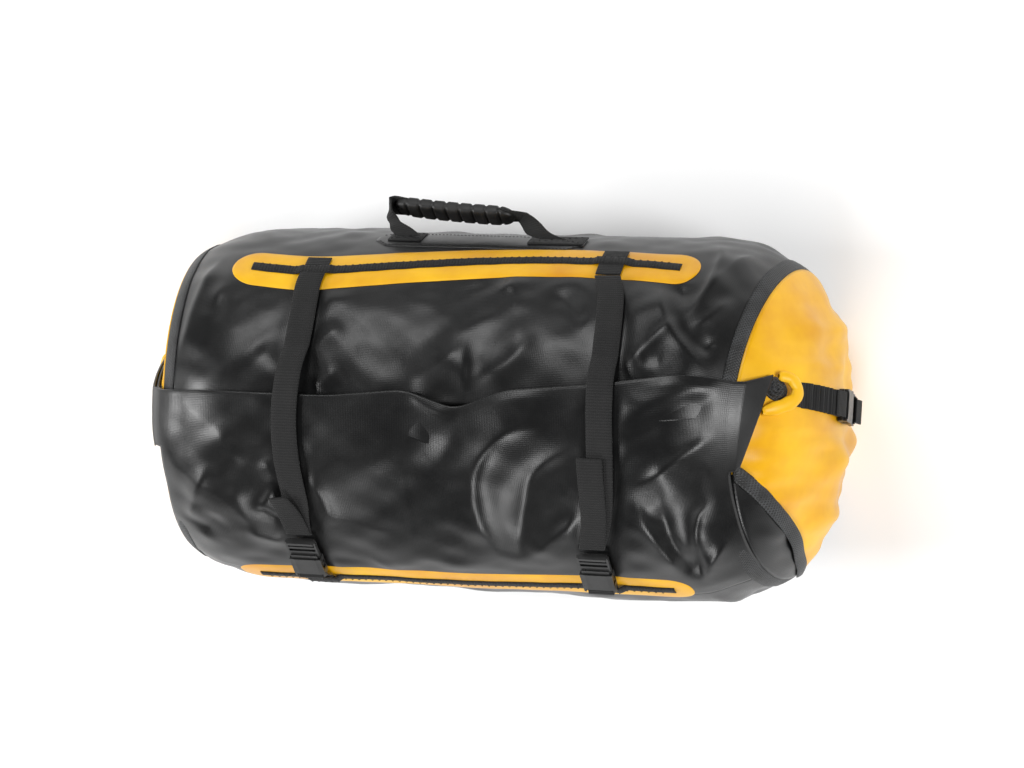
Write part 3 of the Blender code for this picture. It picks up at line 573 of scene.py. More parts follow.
def rubber_material():
    n = Nodes("grip_rubber", 0.52, 0.45)
    grain = n.noise(n.place(), 1600.0, 3.0)
    dust = n.noise(n.place(), 70.0, 4.0)
    colour = n.blend(n.span(dust, 0.0, 1.0, 0.4, 0.75), grey(0.005), grey(0.01, 0.03))
    return n.done(colour, n.span(dust, 0.45, 0.62, 0.3, 0.7), n.bump(grain, 0.00002))


def thread_material():
    n = Nodes("stitch_thread", 0.7, 0.3)
    twist = n.noise(n.place(), 1500.0, 2.0)
    return n.done(n.blend(twist, grey(0.008), grey(0.03)), None, n.bump(twist, 0.00004))


TARP = tarp_material()
YELLOW = yellow_material("yellow_tarp", 0.36)
YELLOW_TRIM = yellow_material("yellow_trim", 0.42)
WEBBING = webbing_material("webbing")
FINE_WEBBING = webbing_material("lash_webbing", 0.003, 0.0045)
TAPE = tape_material()
PLASTIC = plastic_material()
RUBBER = rubber_material()
THREAD = thread_material()


# Bag body


def strap_x(side, deg):
    """Where a compression strap's middle lies: it is pulled sideways between its two ends."""
    along = np.minimum(1.0, np.abs(2 * (deg - STRAP_STOP_DEG) / (STRAP_HINGE_DEG - STRAP_STOP_DEG) - 1))
    return side * STRAP_X[side] + STRAP_BOW[side] * (1 - along**2.5)


def flat_cloth(x, deg):
    return flat_spots(x, deg * PER_DEG)


BODY_XS = np.linspace(-HALF_TUBE, HALF_TUBE, 209)


def build_body():
    wall = np.linspace(MOUTH_DEG[1] + 1.2, PANEL_DEG + 360, 241)
    degs = np.concatenate([np.linspace(*MOUTH_DEG, 29), wall])
    x, deg = np.meshgrid(BODY_XS, degs, indexing="ij")
    points = skin(x, deg, relief(x, deg))
    mid_x = (BODY_XS[:-1] + BODY_XS[1:])[:, None] / 2
    mid_deg = (degs[:-1] + degs[1:]) / 2
    keep = ~((np.abs(mid_x) < MOUTH_HALF) & (mid_deg < MOUTH_DEG[1]))
    obj = grid("body_fabric", points, flat_cloth(x, deg), keep)
    finish_piece(thicken(obj, WALL), "bag", TARP, "tarp_black", "body_shell")


GUSSET = (
    (-0.02, 0.152),
    (-0.05, 0.122),
    (-0.071, 0.1),
    (-0.098, 0.066),
    (-0.123, 0.034),
    (-0.151, -0.014),
)


def build_gusset(panel):
    """Below the right corner the black cloth runs on over the end panel, as far as a taped seam."""
    path, run = even(GUSSET, 90)
    panel.data.materials.append(TARP)
    ys, ups = path[:, 0], path[:, 1]
    for face in panel.data.polygons:
        _, y, z = face.center
        if y < 0 and z - AXIS_Z > np.interp(-y, -ys, ups) and math.hypot(y, z - AXIS_Z) > 0.09:
            face.material_index = 1
    step = np.gradient(path, axis=0)
    step /= np.linalg.norm(step, axis=1)[:, None]
    v = np.array([-1.0, -0.9, -0.3, 0.3, 0.9, 1.0]) * 0.0055
    lift = np.array([0.0003, 0.0014, 0.0018, 0.0018, 0.0014, 0.0003])
    y = ys - step[None, :, 1] * v[:, None]
    up = ups + step[None, :, 0] * v[:, None]
    inside = np.minimum(1.0, RIM_RADIUS * 0.999 / np.hypot(y, up))
    wave = 0.0012 * np.sin(run / 0.009)
    points = end_point(1, y * inside, up * inside, lift[:, None] + 0.002 + wave * 0.4)
    flat = flat_spots(run, v[:, None])
    obj = grid("gusset_tape", points, flat)
    finish_piece(thicken(obj, 0.0006), "bag", TAPE, "seam_tape")


# The end panels' pleats, each as its height, the y of its middle, its lean, its width and its upper end.
PLEATS = (
    (0.0042, -0.034, -0.1, 0.012, 0.09),
    (-0.0035, 0.01, 0.0, 0.009, 0.1),
    (0.0035, 0.092, 0.15, 0.012, 0.08),
    (0.0038, -0.088, 0.15, 0.013, 0.08),
)


def build_end(side, word):
    degs = np.arange(240) * 1.5
    rhos = np.concatenate([[1.0, 0.985, 0.97], np.linspace(0.95, 0.02, 60), [0.0]])
    rho, deg = np.meshgrid(rhos, degs, indexing="ij")
    y = RIM_RADIUS * rho * np.sin(np.radians(deg))
    up = RIM_RADIUS * rho * np.cos(np.radians(deg))
    free = smooth((1 - rho) / 0.16)
    folds = 0.0045 * np.exp(-(((y - 0.046 + 0.12 * (up - 0.06)) / 0.01) ** 2)) * smooth((up + 0.05) / 0.06)
    for height, middle, lean, width, top in PLEATS:
        folds += height * np.exp(-(((y - middle - lean * up) / width) ** 2)) * smooth((top - up) / 0.05)
    folds += 0.0016 * ripples(y, up, 0.09, 21 + side) + 0.0008 * ripples(y * 1.8, up * 0.7, 0.05, 31 + side)
    calm = smooth((AXIS_Z + up) / 0.03)
    y0, up0 = end_spot(side, (0.03, 0.05))
    busy = np.hypot((y - y0 - 0.25 * (up - up0)) / 0.03, (up - up0) / 0.115)
    calm = calm * (0.12 + 0.88 * smooth((busy - 0.9) / 0.5))
    points = dome(side, rho, deg, (1.5 if side > 0 else 1.0) * folds * free * calm)
    points[0, :, 0] -= side * 0.001
    if side < 0:
        points = points[:, ::-1]
        y, up = y[:, ::-1], up[:, ::-1]
    obj = grid("end_panel_" + word, points[::-1], np.stack([y, up], axis=-1)[::-1], wrap=True)
    finish_piece(thicken(obj, WALL), "bag", YELLOW, "tarp_yellow", "end_cap_" + word)
    if side > 0:
        build_gusset(obj)
    degs = np.arange(360) * 1.0 - 180
    xs = side * (HALF_TUBE - np.array([0.0135, 0.0125, 0.0085, 0.0045, 0.001, 0.0000]))
    lift = np.array([0.0002, 0.0013, 0.0017, 0.0017, 0.0013, 0.0004])
    x, deg = np.meshgrid(xs, degs, indexing="ij")
    high = relief(x, deg) + lift[:, None] * smooth((AXIS_Z + TUBE_RADIUS * np.cos(np.radians(deg))) / 0.012)
    points = skin(x, deg, high + 0.0001)
    if side < 0:
        points, x, deg = points[::-1], x[::-1], deg[::-1]
    obj = grid("seam_band_" + word, points, flat_cloth(x, deg), wrap=True)
    finish_piece(thicken(obj, 0.0006), "bag", TAPE, "seam_tape", "seam_tape_" + word)


# Closure


def crease_deg(x):
    """The folded edge of the closure wanders along the bag."""
    spots = ((-0.33, 14), (-0.29, 11), (-0.16, 11), (-0.115, 11), (-0.04, 13.5), (0.012, 8.5), (0.06, 14.5))
    spots += ((0.14, 17), (0.215, 20.5), (0.262, 21.5), (0.33, 22))
    xs, ds = zip(*spots)
    fine = np.linspace(-0.36, 0.36, 145)
    soft = np.convolve(np.pad(np.interp(fine, xs, ds), 2, mode="edge"), np.ones(5) / 5, mode="valid")
    return np.interp(x, fine, soft)


def flap_top(deg, crease):
    roll = LAY + PLY / 2 + ROLL_PLIES * (PLY + PLY_GAP)
    near = 0.0018
    return near + (roll - near) * smooth((deg - HINGE_DEG) / (crease - HINGE_DEG - ROLL_WIDTH / PER_DEG))


def build_closure():
    past = np.linspace(0, TIP_REACH, 15)[1:]
    xs = np.concatenate([-HALF_TUBE - past[::-1], BODY_XS, HALF_TUBE + past])
    crease = crease_deg(xs)[:, None]
    low = np.linspace(PANEL_DEG, HINGE_DEG, 34)
    share = np.linspace(0, 1, 48)[1:]
    lower = np.broadcast_to(low, (len(xs), len(low)))
    upper = HINGE_DEG + (crease - HINGE_DEG) * share
    deg = np.concatenate([lower, upper], axis=1)
    rise = 0.0018 * smooth((deg - PANEL_DEG) / (HINGE_DEG - PANEL_DEG))
    high = np.where(deg <= HINGE_DEG, rise, flap_top(deg, crease))
    high = high + 0.0016 * smooth((np.abs(xs)[:, None] - 0.262) / 0.018) * smooth((deg - HINGE_DEG) / 12)
    folds = relief(np.clip(xs, -HALF_TUBE, HALF_TUBE)[:, None], deg)
    firm = smooth((crease - deg) / 2.5)
    high = high + folds * (0.35 + 0.65 * firm) * np.where(folds < 0, 1 - 0.55 * smooth(deg / 8), 1.0)
    pitch = PLY + PLY_GAP
    level = high[:, -1:]
    at = deg[:, -1:]
    degs, highs = [deg], [high]
    for ply in range(ROLL_PLIES):
        turn = np.radians(np.linspace(90, -90, 7)[1:])
        way = 1 if ply % 2 == 0 else -1
        reach = pitch / 2
        degs.append(at + way * np.cos(turn) * reach / PER_DEG)
        highs.append(level - reach + reach * np.sin(turn))
        level = level - pitch
        run = np.linspace(0, 1, 7)[1:]
        degs.append(at - way * run * ROLL_WIDTH / PER_DEG)
        highs.append(level + 0 * run)
        at = at - way * ROLL_WIDTH / PER_DEG
    deg = np.concatenate(degs, axis=1)
    high = np.concatenate(highs, axis=1)
    x = np.broadcast_to(xs[:, None], deg.shape)
    points = cover(x, deg, np.broadcast_to(crease, deg.shape), high)
    mid = (deg[:-1, :-1] + deg[1:, 1:]) / 2
    out = (np.abs(xs[:-1] + xs[1:]) / 2)[:, None] > HALF_TUBE
    keep = ~(out & (mid < TIP_FROM_DEG))
    run = np.concatenate([[0], np.cumsum(np.linalg.norm(np.diff(points[len(xs) // 2], axis=0), axis=1))])
    flat = np.stack([x, np.broadcast_to(run + PANEL_DEG * PER_DEG, x.shape)], axis=-1)
    obj = grid("closure_fabric", points, flat, keep)
    obj = thicken(obj, 0.0012, 0.0)
    obj.data.materials.append(TARP)
    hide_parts("closure_flap")
    start = Vector(skin(0.0, HINGE_DEG - 3.5, 0.0).tolist())
    stop = Vector(skin(0.0, HINGE_DEG + 3.5, 0.0).tolist())
    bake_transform(obj)


# Strips and webbing on the tube


def on_tube(xs, degs, high):
    """Spots on the tube, raised over the cloth's own folds."""
    xs, degs, high = np.broadcast_arrays(xs, degs, high)
    return skin(xs, degs, high + relief(xs, degs))


def build_lash(sign, word):
    xs = np.linspace(-1, 1, 181)
    ends = np.sign(xs) * (1 - (1 - np.abs(xs)) ** 1.6)
    x = LASH_X + LASH_HALF * ends
    inside = np.clip(LASH_HALF - np.abs(x - LASH_X), 0, None)
    short = np.clip(LASH_WIDTH / 2 - inside, 0, None)
    half = np.sqrt(np.clip((LASH_WIDTH / 2) ** 2 - short**2, 1e-8, None))
    across = np.sin(np.linspace(-1, 1, 17) * math.pi / 2)
    deg = lash_deg(x, sign)[:, None] + half[:, None] * across / PER_DEG
    edge = 1 - np.abs(across) ** 6
    high = 0.0004 + 0.0011 * edge * smooth(inside[:, None] / 0.003 + 0.2)
    points = on_tube(x[:, None], deg, high)
    obj = grid(word + "_lash_strip", points, flat_cloth(x[:, None], deg))
    finish_piece(thicken(obj, 0.001), "bag", YELLOW_TRIM, "tarp_yellow", word + "_lash_patch")
    x = LASH_X + np.linspace(-LASH_WEB_HALF, LASH_WEB_HALF, 301)
    near = np.min([np.abs(x - s * STRAP_X[s]) for s in (1, -1)], axis=0) - STRAP_WIDTH / 2
    crossed = 1 - smooth((near - 0.001) / 0.008)
    over = crossed * (WEB + 0.0008)
    if sign < 0:
        over = over + crossed * 0.0016
    offsets = np.array([-1.0, -0.86, -0.45, 0.0, 0.45, 0.86, 1.0])
    domed = np.array([0.0, 0.0008, 0.0012, 0.0013, 0.0012, 0.0008, 0.0])
    wobble = 0.0002 * np.sin(x / 0.0045)
    deg = lash_deg(x, sign)[:, None] + (offsets * LASH_WEB_WIDTH / 2 + wobble[:, None]) / PER_DEG
    high = 0.0017 + over[:, None] + domed
    points = on_tube(x[:, None], deg, high)
    flat = flat_spots(x[:, None], offsets * LASH_WEB_WIDTH / 2)
    obj = grid(word + "_lash_band", points, flat)
    finish_piece(thicken(obj, 0.0012), "bag", FINE_WEBBING, "webbing_black", word + "_lash_webbing")
    x = x[6:-6:5]
    deg = lash_deg(x, sign)
    high = 0.0031 + over[6:-6:5] + relief(x, deg)
    ends = []
    for row in (-1, 1):
        ends += map(stitch_ends, x, deg + row * 0.36 * LASH_WEB_WIDTH / PER_DEG, high)
    build_stitches(word + "_lash_stitches", ends)


def stitch_ends(x, deg, high, half=0.001):
    return skin(x - half, deg, high), skin(x + half, deg, high)


def build_stitches(name, ends, radius=0.00035):
    points, faces, cloth = [], [], []
    for a, b in ends:
        add_stitch(points, faces, cloth, a, b, radius)
    finish_piece(add_mesh(name, points, faces, cloth), "bag", THREAD, "webbing_black")


def add_stitch(points, faces, cloth, a, b, radius):
    """One stitch: a thread that rises out of the cloth and goes back in."""
    a, b = np.asarray(a, float), np.asarray(b, float)
    along = (b - a) / np.linalg.norm(b - a)
    out = (a + b) / 2 - np.array((np.clip((a[0] + b[0]) / 2, -0.25, 0.25), 0.0, AXIS_Z))
    out = out / np.linalg.norm(out)
    side = np.cross(along, out)
    first = len(points)
    rings = 5
    for k in range(rings):
        t = k / (rings - 1)
        centre = a + (b - a) * t + out * (math.sin(math.pi * t) * 0.0004 - 0.0002)
        for turn in range(5):
            w = 2 * math.pi * turn / 5
            points.append(centre + (side * math.cos(w) + out * math.sin(w)) * radius)
            cloth.append((t * 0.002, w * 0.0003, 0.0))
    for k in range(rings - 1):
        for turn in range(5):
            p, q = first + k * 5 + turn, first + k * 5 + (turn + 1) % 5
            faces.append((p, q, q + 5, p + 5))
    faces.append(tuple(first + t for t in range(4, -1, -1)))
    faces.append(tuple(first + (rings - 1) * 5 + t for t in range(5)))


def strap_height(deg):
    top = PLY / 2 + LAY + ROLL_PLIES * (PLY + PLY_GAP) + PLY + 0.0016
    up = smooth((STRAP_HINGE_DEG - 26 - deg) / 14)
    down = smooth((deg - (BUCKLE_DEG + 14)) / 22)
    low = 0.003 + 0.004 * (1 - smooth((deg - BUCKLE_DEG - 10) / 16))
    return np.where(deg > 0, np.maximum(PATCH + LAY + 0.0008, top * up), low + (top - low) * down)


def band_across(half):
    """Spots across a webbing, with its edges rounded down."""
    v = np.array([-1.0, -0.94, -0.5, 0.0, 0.5, 0.94, 1.0]) * half
    drop = np.array([0.00045, 0.0, 0.0, 0.0, 0.0, 0.0, 0.00045])
    return v, drop


# Each strap's free end: its length in degrees, and how far it slides aside, rises, tilts and is pinched.
TAILS = {1: (31.0, -0.0085, 0.0012, 0.05, 0.0), -1: (15.0, -0.012, 0.0075, 0.175, 0.35)}


def build_strap(side, word):
    body = "strap_" + word
    v, drop = band_across(STRAP_WIDTH / 2)
    deg = np.linspace(STRAP_HINGE_DEG - 0.8, STRAP_STOP_DEG, 150)
    past = deg - STRAP_STOP_DEG
    sway = 0.0022 * np.sin(past * (0.12 if side < 0 else 0.09)) * smooth(past / 12)
    sway = sway * smooth((STRAP_HINGE_DEG - deg) / 10)
    middle = strap_x(side, deg) + sway
    lean = 0.05 * np.sin(deg * 0.13 + side)
    high = strap_height(deg) + WEB / 2 + 0.0002 - drop[:, None] + lean * v[:, None] * 0.6
    high = high + np.clip(0.5 * relief(middle, deg), 0, 0.0015)
    x = middle + v[:, None]
    points = skin(x, deg, high)
    flat = flat_spots(deg * PER_DEG, v[:, None])
    obj = grid("strap_band_" + word, points, flat)
    finish_piece(thicken(obj, WEB, 0.0), body, WEBBING, "webbing_black", "strap_" + word)
    length, shift, rise, tilt, pinch = TAILS[side]
    start, stop = STRAP_STOP_DEG + 0.6, STRAP_STOP_DEG + length
    deg = np.linspace(start, stop, 70)
    share = (deg - start) / (stop - start)
    aside = shift * share**1.3
    curl = rise * share**2.5
    high = strap_height(deg) + WEB * 1.5 + 0.0011 - drop[:, None] + curl
    high = high - tilt * share**2 * v[:, None]
    narrow = 0.97 - pinch * share**3
    x = strap_x(side, deg) + aside + v[:, None] * narrow
    points = skin(x, deg, high)
    flat = flat_spots(deg * PER_DEG, v[:, None])
    obj = grid("strap_tail_band_" + word, points, flat)
    finish_piece(thicken(obj, WEB, 0.0), body, WEBBING, "webbing_black", "strap_tail_" + word)
    x0 = side * STRAP_X[side]
    deg = np.linspace(STRAP_HINGE_DEG + 0.4, lash_deg(x0, 1) + 6.0, 20)
    high = 0.0022 + WEB - drop[:, None]
    points = on_tube(x0 + v[:, None], deg, high)
    flat = flat_spots(deg * PER_DEG, v[:, None])
    obj = grid("strap_root_band_" + word, points, flat)
    finish_piece(thicken(obj, WEB), "bag", WEBBING, "webbing_black", "strap_root_" + word)


# Webbing that follows a path in a buckle's own frame


def tube_frame(deg, x0, rise):
    a = math.radians(deg)
    out = np.array((0.0, math.sin(a), math.cos(a)))
    down = np.array((0.0, -math.cos(a), math.sin(a)))
    base = np.array((x0, 0.0, AXIS_Z)) + out * (TUBE_RADIUS + rise)
    return base, down, np.array((1.0, 0.0, 0.0)), out


def end_spot(side, spot):
    return spot[0] + END_DROP[side][0], spot[1] + END_DROP[side][1]


def end_frame(side):
    y, high = end_spot(side, END_BUCKLE)
    a = math.radians(END_SKEW_DEG)
    face = float(end_point(side, y, high, 0.0)[0]) + side * BUCKLE_REST
    base = np.array((face, y, AXIS_Z + high))
    up = np.array((0.0, math.sin(a), math.cos(a)))
    across = np.array((0.0, -math.cos(a), math.sin(a)))
    return base, up, across, np.array((side * 1.0, 0.0, 0.0))


def webbing_in(name, where, path, half, count=90):
    """Webbing along a path of (u, w) spots in a buckle's frame."""
    base, up, across, out = where
    spots, run = even(path, count)
    v, _ = band_across(half)
    points = (
        base
        + spots[None, :, 0, None] * up
        + spots[None, :, 1, None] * out
        + v[:, None, None] * across
    )
    if np.dot(np.cross(across, up), out) < 0:
        points, v = points[::-1], v[::-1]
    flat = flat_spots(run, v[:, None])
    return thicken(grid(name, points, flat), WEB, 0.0)


def arc(centre, radius, start, stop, count=7):
    turns = np.radians(np.linspace(start, stop, count))
    return [(centre[0] + radius * math.cos(t), centre[1] + radius * math.sin(t)) for t in turns]


def socket_loop(lay, back):
    bar, mid = SOCKET_LENGTH - 0.0015, BUCKLE_HEIGHT / 2
    turn = 0.001 + WEB / 2 + 0.0011
    nose = arc((bar - 0.0004, mid), turn, 270, 90)
    under, over = (bar + 0.0045, mid - turn - 0.0002), (bar + 0.004, mid + turn - 0.0004)
    return [*lay, under, *nose, over, *reversed(back)]


def over_bend(deg, high):
    a = math.radians(BUCKLE_DEG - deg)
    r = TUBE_RADIUS + high
    return (r * math.sin(a), r * math.cos(a) - TUBE_RADIUS - BUCKLE_RISE)


def build_socket_web(side, word):
    x0 = side * STRAP_X[side]
    edge = -float(lash_deg(x0, -1)) - LASH_WEB_WIDTH / 2 / PER_DEG
    low = 0.003
    lay = [over_bend(-d, low + WEB / 2) for d in (edge + 4.5, edge + 2.8, edge + 1.4, edge - 0.3)]
    back = [over_bend(-d, low + WEB * 1.5 + LAY) for d in (edge - 1.0,)]
    where = tube_frame(BUCKLE_DEG, x0, BUCKLE_RISE)
    obj = webbing_in("socket_band_" + word, where, socket_loop(lay, back), STRAP_WIDTH / 2 * 0.98)
    finish_piece(obj, "bag", WEBBING, "webbing_black", "socket_web_" + word)


def build_end_straps(side, word):
    where = end_frame(side)
    base = where[0]
    y0, high0 = end_spot(side, END_BUCKLE)
    a = math.radians(END_SKEW_DEG)

    def rise_at(u):
        spot = (y0 + u * math.sin(a), high0 + u * math.cos(a))
        return abs(float(end_point(side, *spot, 0.0)[0])) - abs(base[0])

    half = STRAP_WIDTH / 2
    reach = math.dist(END_SWING, END_BUCKLE)
    run = reach + 0.006 - SOCKET_LENGTH - 0.012
    lay = []
    for k in range(25):
        u = SOCKET_LENGTH + 0.012 + run * k / 24
        gather = 0.0027 * math.sin(2 * math.pi * u / 0.0105 + 2.5 * math.sin(u * 90)) * min(1.0, k / 4)
        lay.append((u, rise_at(u) + 0.0045 + gather))
    back = [(u, w + WEB + 0.0012) for u, w in lay[:3]]
    obj = webbing_in("end_strap_band_" + word, where, socket_loop(lay[::-1], back), half * 0.98, 170)
    finish_piece(obj, "end_strap_" + word, WEBBING, "webbing_black", "end_strap_" + word)
    rises = ((-0.002, 0.0), (0.006, 0.001), (0.016, 0.002))
    stub = [(reach + u, rise_at(reach + u) + 0.003 + rise) for u, rise in rises]
    obj = webbing_in("end_stub_band_" + word, where, stub, half * 0.94, 20)
    finish_piece(obj, "closure", WEBBING, "webbing_black")
    path = []
    for k in range(9):
        u = -PLUG_LENGTH - 0.0008 - 0.046 * k / 8
        path.append((u, rise_at(u) + 0.0018 + 0.004 * float(smooth(1 - k / 4))))
    obj = webbing_in("end_anchor_band_" + word, where, path, half * 0.98, 60)
    finish_piece(obj, "bag", WEBBING, "webbing_black", "end_anchor_" + word)
    spots = ((0.0058, 0.0098), (0.002, 0.009), (-0.004, 0.0078), (-0.02, 0.01))
    tail = [(u - PLUG_LENGTH, w) for u, w in spots]
    obj = webbing_in("end_tail_band_" + word, where, tail, half * 0.94, 30)
    finish_piece(obj, "bag", WEBBING, "webbing_black")


def build_ear(side, word):
    """The rolled closure's end: a yellow fold, with a dark raised disc in its hook that is painted shadow,
    standing for the roll's shaded core.
    """
    spots = [
        (0.06, 0.109, 0.008),
        (0.056, 0.1005, 0.0105),
        (0.0455, 0.098, 0.012),
        (0.037, 0.104, 0.012),
        (0.0325, 0.116, 0.01),
        (0.03, 0.129, 0.007),
    ]
    path, run = even([(*end_spot(side, spot[:2]), spot[2]) for spot in spots], 60)
    centre = end_point(side, path[:, 0], path[:, 1], path[:, 2])
    step = np.gradient(centre, axis=0)
    step /= np.linalg.norm(step, axis=1)[:, None]
    out = end_point(side, path[:, 0], path[:, 1], path[:, 2] + 0.01) - centre
    out /= np.linalg.norm(out, axis=1)[:, None]
    wide = np.cross(step, out)
    turns = np.linspace(0, 2 * math.pi, 24, endpoint=False)
    share = run / run[-1]
    size = 0.35 + 0.65 * np.sqrt(np.clip(1 - (2 * share - 1) ** 4, 0, 1))
    pucker = 1 + 0.05 * np.sin(run / 0.0019 + 1.0)
    half = 0.0068 * size * pucker
    deep = 0.004 * size
    points = (
        centre[None]
        + np.cos(turns)[:, None, None] * wide[None] * half[None, :, None]
        + np.sin(turns)[:, None, None] * out[None] * deep[None, :, None]
    )
    flat = flat_spots(run, turns[:, None] * 0.002)
    points, flat = closed(points), closed(flat)
    if side > 0:
        points, flat = points[::-1], flat[::-1]
    obj = grid("closure_ear_fold_" + word, points, flat)
    finish_piece(obj, "closure", YELLOW_TRIM, "tarp_yellow", "closure_ear_" + word)
    # A dark raised disc in the fold's hook: painted shadow for the roll's shaded core.
    turns = np.linspace(0, 2 * math.pi, 72, endpoint=False)
    rings = np.linspace(1, 0.02, 24)
    ring, turn = np.meshgrid(rings, turns, indexing="ij")
    y0, up0 = end_spot(side, (0.049, 0.113))
    y = y0 + 0.012 * ring * np.cos(turn)
    up = up0 + 0.011 * ring * np.sin(turn) - 0.002 * ring**2
    swirl = 0.0009 * np.sin(2 * math.pi * ring * 3.2 + turn)
    out = 0.0015 + 0.006 * (1 - ring**3) + swirl * (1 - ring**4)
    points = end_point(side, y, up, out)
    if side > 0:
        points = points[:, ::-1]
    obj = grid("closure_painted_shadow_" + word, points, np.stack([y, up], axis=-1), wrap=True)
    finish_piece(obj, "closure", TAPE, "seam_tape")


# Handle


def handle_frame():
    pivot = skin(0.0, HANDLE_DEG, 0.005)
    a = math.radians(HANDLE_DROP_DEG)
    away = np.array((0.0, math.cos(a), -math.sin(a)))
    across = np.array((0.0, math.sin(a), math.cos(a)))
    return pivot, away, across


def from_patch_end(x):
    return np.minimum(x - PATCH_X[0], PATCH_X[1] - x)


def patch_half(x):
    """Half the width of the handle's patch, in degrees: it is drawn in towards its ends."""
    return 6.5 * np.minimum(1.0, 0.3 + from_patch_end(x) / 0.02)


def build_handle():
    pivot, away, across = handle_frame()

    def place(x, d, w):
        x, d, w = np.broadcast_arrays(x, d, w)
        return x[..., None] * np.array((1.0, 0, 0)) + pivot + away * d[..., None] + across * w[..., None]

    low, high = GRIP_X
    middle = (low + high) / 2
    u = np.linspace(low, high, 181)
    ribs = 9
    share = (u - low) / (high - low)
    phase = share * ribs
    ridge = smooth((0.5 - np.abs(phase % 1 - 0.5) - 0.06) / 0.12)
    ends = np.sqrt(np.clip(1 - (2 * share - 1) ** 10, 0.05, 1))
    swell = (0.72 + 0.28 * ridge) * ends
    turns = np.linspace(0, 2 * math.pi, 48, endpoint=False)
    c, s = np.cos(turns), np.sin(turns)
    d = 0.0066 * np.sign(c) * np.abs(c) ** 0.6
    w = 0.0128 * np.sign(s) * np.abs(s) ** 0.6
    tilt = -0.075 * (u - middle)
    bow = -0.0016 * (1 - (2 * share - 1) ** 2)
    points = place(
        u,
        HANDLE_REACH + tilt + bow + d[:, None] * swell,
        w[:, None] * (0.9 + 0.1 * swell) * ends,
    )
    flat = flat_spots(u, turns[:, None] * 0.01)
    points, flat = closed(points), closed(flat)
    obj = grid("grip_moulding", points[::-1], flat[::-1])
    finish_piece(obj, "handle", RUBBER, "grip_rubber", "handle_grip")
    left, right = TAB_X
    reach = HANDLE_REACH
    rows = (
        ((left + 0.004, 0.0016, 0.0), (1, 0, 0), (0, 0, 1)),
        ((left - 0.002, 0.006, 0.0), (0.9, 0.1, 0.42), (-0.4, 0.05, 0.9)),
        ((left - 0.01, 0.012, 0.001), (0.45, -0.2, 0.83), (-0.8, 0.1, 0.55)),
        ((left - 0.015, 0.019, -0.001), (0.1, 0.3, 1.0), (-1.0, 0.2, 0.1)),
        ((left - 0.02, 0.026, 0.0), (-0.15, 0.2, 1.0), (-0.8, 0.6, 0.0)),
        ((left - 0.0205, reach + 0.003, 0.0), (0.0, 0.0, 1.0), (-0.15, 0.99, 0.0)),
        ((low - 0.001, reach + 0.0048, 0.0), (0, 0, 1), (0, 1, 0)),
        ((middle, reach - 0.001, 0.0), (0, 0, 1), (0.075, 1, 0)),
        ((high + 0.001, reach - 0.0048, 0.0), (0, 0, 1), (0.1, 1, 0)),
        ((high + 0.01, reach - 0.007, 0.0), (0, 0, 1), (0.25, 0.97, 0)),
        ((high + 0.018, reach - 0.014, 0.0), (0.25, -0.1, 0.96), (0.5, 0.86, 0)),
        ((high + 0.025, reach - 0.022, 0.0), (0.75, -0.1, 0.6), (0.35, 0.6, -0.6)),
        ((high + 0.033, 0.005, 0.0), (0.98, 0.0, 0.2), (0.05, 0.3, -0.95)),
        ((high + 0.044, 0.0018, 0.0), (1, 0, 0), (0, 0, -1)),
    )
    centre, run = even([row[0] for row in rows], 220)
    marks = np.linspace(0, 1, len(rows))
    order = np.linspace(0, 1, 220)
    wide = np.stack([np.interp(order, marks, [row[1][k] for row in rows]) for k in range(3)], axis=-1)
    wide /= np.linalg.norm(wide, axis=1)[:, None]
    narrow = 1 - 0.42 * np.exp(-(((run - 0.022) / 0.01) ** 2))
    v, _ = band_across(STRAP_WIDTH / 2 * 0.98)
    spots = centre[None] + v[:, None, None] * wide[None] * narrow[None, :, None]
    points = place(spots[..., 0], spots[..., 1], spots[..., 2])
    flat = flat_spots(run, v[:, None])
    obj = grid("handle_band", points, flat)
    finish_piece(thicken(obj, WEB, 0.0), "handle", WEBBING, "webbing_black", "handle_webbing")
    xs = np.linspace(*PATCH_X, 80)[:, None]
    share = np.linspace(-1, 1, 15)
    deg = HANDLE_DEG + 2.0 + patch_half(xs) * share
    edge = (1 - np.abs(share) ** 8) * smooth(from_patch_end(xs) / 0.004)
    points = on_tube(xs, deg, 0.0003 + 0.001 * edge)
    obj = grid("handle_reinforcement", points, flat_cloth(xs, deg))
    finish_piece(thicken(obj, 0.0008), "bag", TARP, "tarp_black", "handle_patch")
    xs = np.arange(-0.106, 0.095, 0.0038)
    ends = []
    for row in (-1, 1):
        deg = HANDLE_DEG + 2 + row * (patch_half(xs) - 0.9)
        ends += map(stitch_ends, xs, deg, 0.0014 + relief(xs, deg))
    build_stitches("handle_stitches", ends, 0.0003)
    for word, x0, half in (("left", left, 0.017), ("right", right - 0.014, 0.028)):
        v = np.linspace(-half, half, 9)
        deg = np.linspace(HANDLE_DEG - 0.5, HANDLE_DEG + 7.5, 12)
        points = on_tube(x0 + v[:, None], deg, 0.0028)
        flat = flat_spots(deg * PER_DEG, v[:, None])
        obj = grid("handle_tab_band_" + word, points, flat)
        finish_piece(thicken(obj, WEB), "bag", WEBBING, "webbing_black", "handle_tab_" + word)
        ends = []
        for k in np.linspace(-1, 1, 9):
            for row in (-1, 1):
                x, at = x0 + row * k * half * 0.8, HANDLE_DEG + 3.5 + k * 2.8
                ends.append(stitch_ends(x, at, 0.0031, 0.0011))
        build_stitches("tab_stitches_" + word, ends)


# Buckles keep their solids: rounded edges and moulded plastic are all that they need.


def finish_buckles():
    for name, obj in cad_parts.items():
        if not name.startswith(("socket_strap", "socket_end", "plug_", "prong_")):
            continue
        obj.data.materials.clear()
        obj.data.materials.append(PLASTIC)
        mod = obj.modifiers.new("edges", "BEVEL")
        mod.width = 0.00035
        mod.segments = 2
        mod.limit_method = "ANGLE"
        mod.angle_limit = math.radians(40)
        mod.harden_normals = False


# Studio


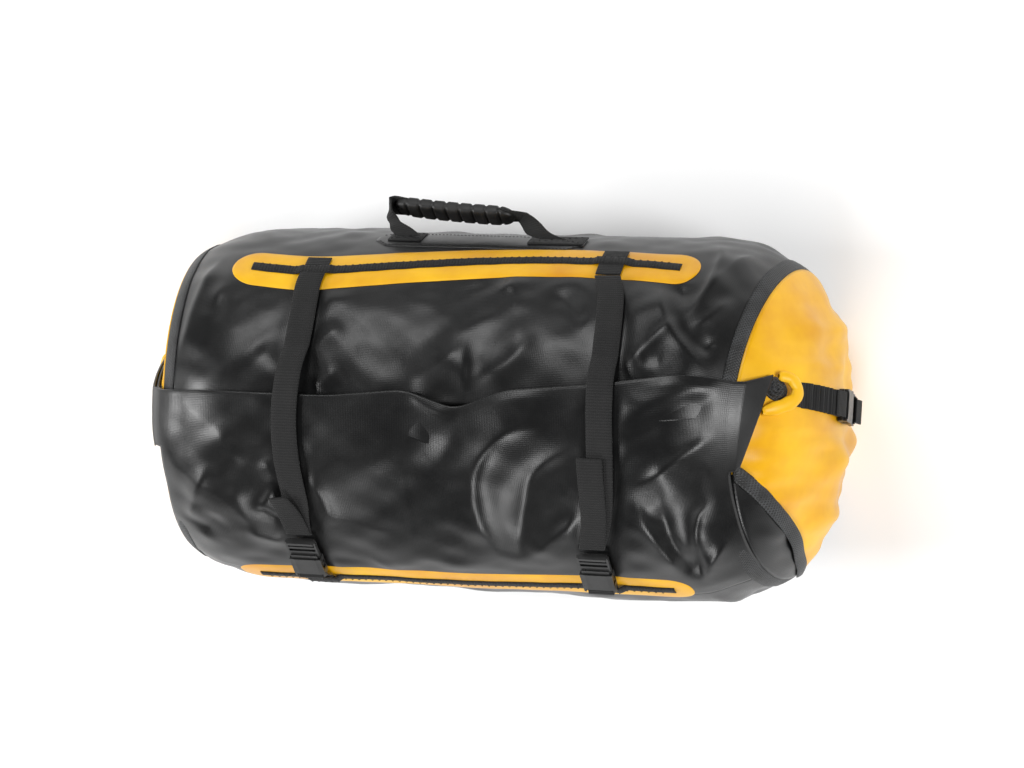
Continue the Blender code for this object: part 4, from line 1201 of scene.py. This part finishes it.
CAMERA_FAR = 3.41


def build_studio():
    n = Nodes("studio_floor", 0.9, 0.1)
    cloudy = n.noise(n.place(), 2.0, 2.0)
    n.done(n.blend(cloudy, grey(0.9), grey(0.93)))
    bpy.ops.mesh.primitive_plane_add(size=14, location=(0, 0, -0.0015))
    floor = bpy.context.object
    floor.name = "floor"
    floor.data.materials.append(n.mat)
    world = bpy.data.worlds.new("studio")
    world.use_nodes = True
    world.node_tree.nodes["Background"].inputs["Color"].default_value = (1, 1, 1, 1)
    world.node_tree.nodes["Background"].inputs["Strength"].default_value = 0.06
    bpy.context.scene.world = world
    lights = (
        ("key", (-3.3, -0.1, 2.4), 1.7, 160),
        ("far", (-0.8, 3.4, 2.7), 1.5, 70),
        ("right", (3.3, 0.3, 2.8), 1.5, 138),
        ("near", (0.4, -3.4, 2.4), 1.5, 92),
    )
    for name, at, size, power in lights:
        data = bpy.data.lights.new(name, "AREA")
        data.size = size
        data.energy = power
        lamp = bpy.data.objects.new(name, data)
        lamp.location = at
        lamp.rotation_euler = (Vector((0, 0, 0.15)) - Vector(at)).to_track_quat("-Z", "Y").to_euler()
        bpy.context.scene.collection.objects.link(lamp)
    # The camera looks down from nearly overhead, and a little from the right and from the handle's side.
    towards = Vector((0.2756, 0.135, 0.952)).normalized()
    up = Vector((0, 1, 0))
    up = (up - towards * up.dot(towards)).normalized()
    right = up.cross(towards)
    target = Vector((0, 0, AXIS_Z)) + right * 0.015 + up * 0.028
    data = bpy.data.cameras.new("camera")
    data.lens = 120
    data.sensor_width = 36
    camera = bpy.data.objects.new("camera", data)
    camera.matrix_world = Matrix((right, up, towards)).transposed().to_4x4()
    camera.location = target + towards * CAMERA_FAR
    bpy.context.scene.collection.objects.link(camera)
    bpy.context.scene.camera = camera
    bpy.context.scene.view_settings.view_transform = "Standard"


build_body()
for side, word in SIDES:
    build_end(side, word)
    build_strap(side, word)
    build_socket_web(side, word)
    build_end_straps(side, word)
    build_ear(side, word)
for sign, word in ((1, "upper"), (-1, "lower")):
    build_lash(sign, word)
build_closure()
build_handle()
finish_buckles()
build_studio()
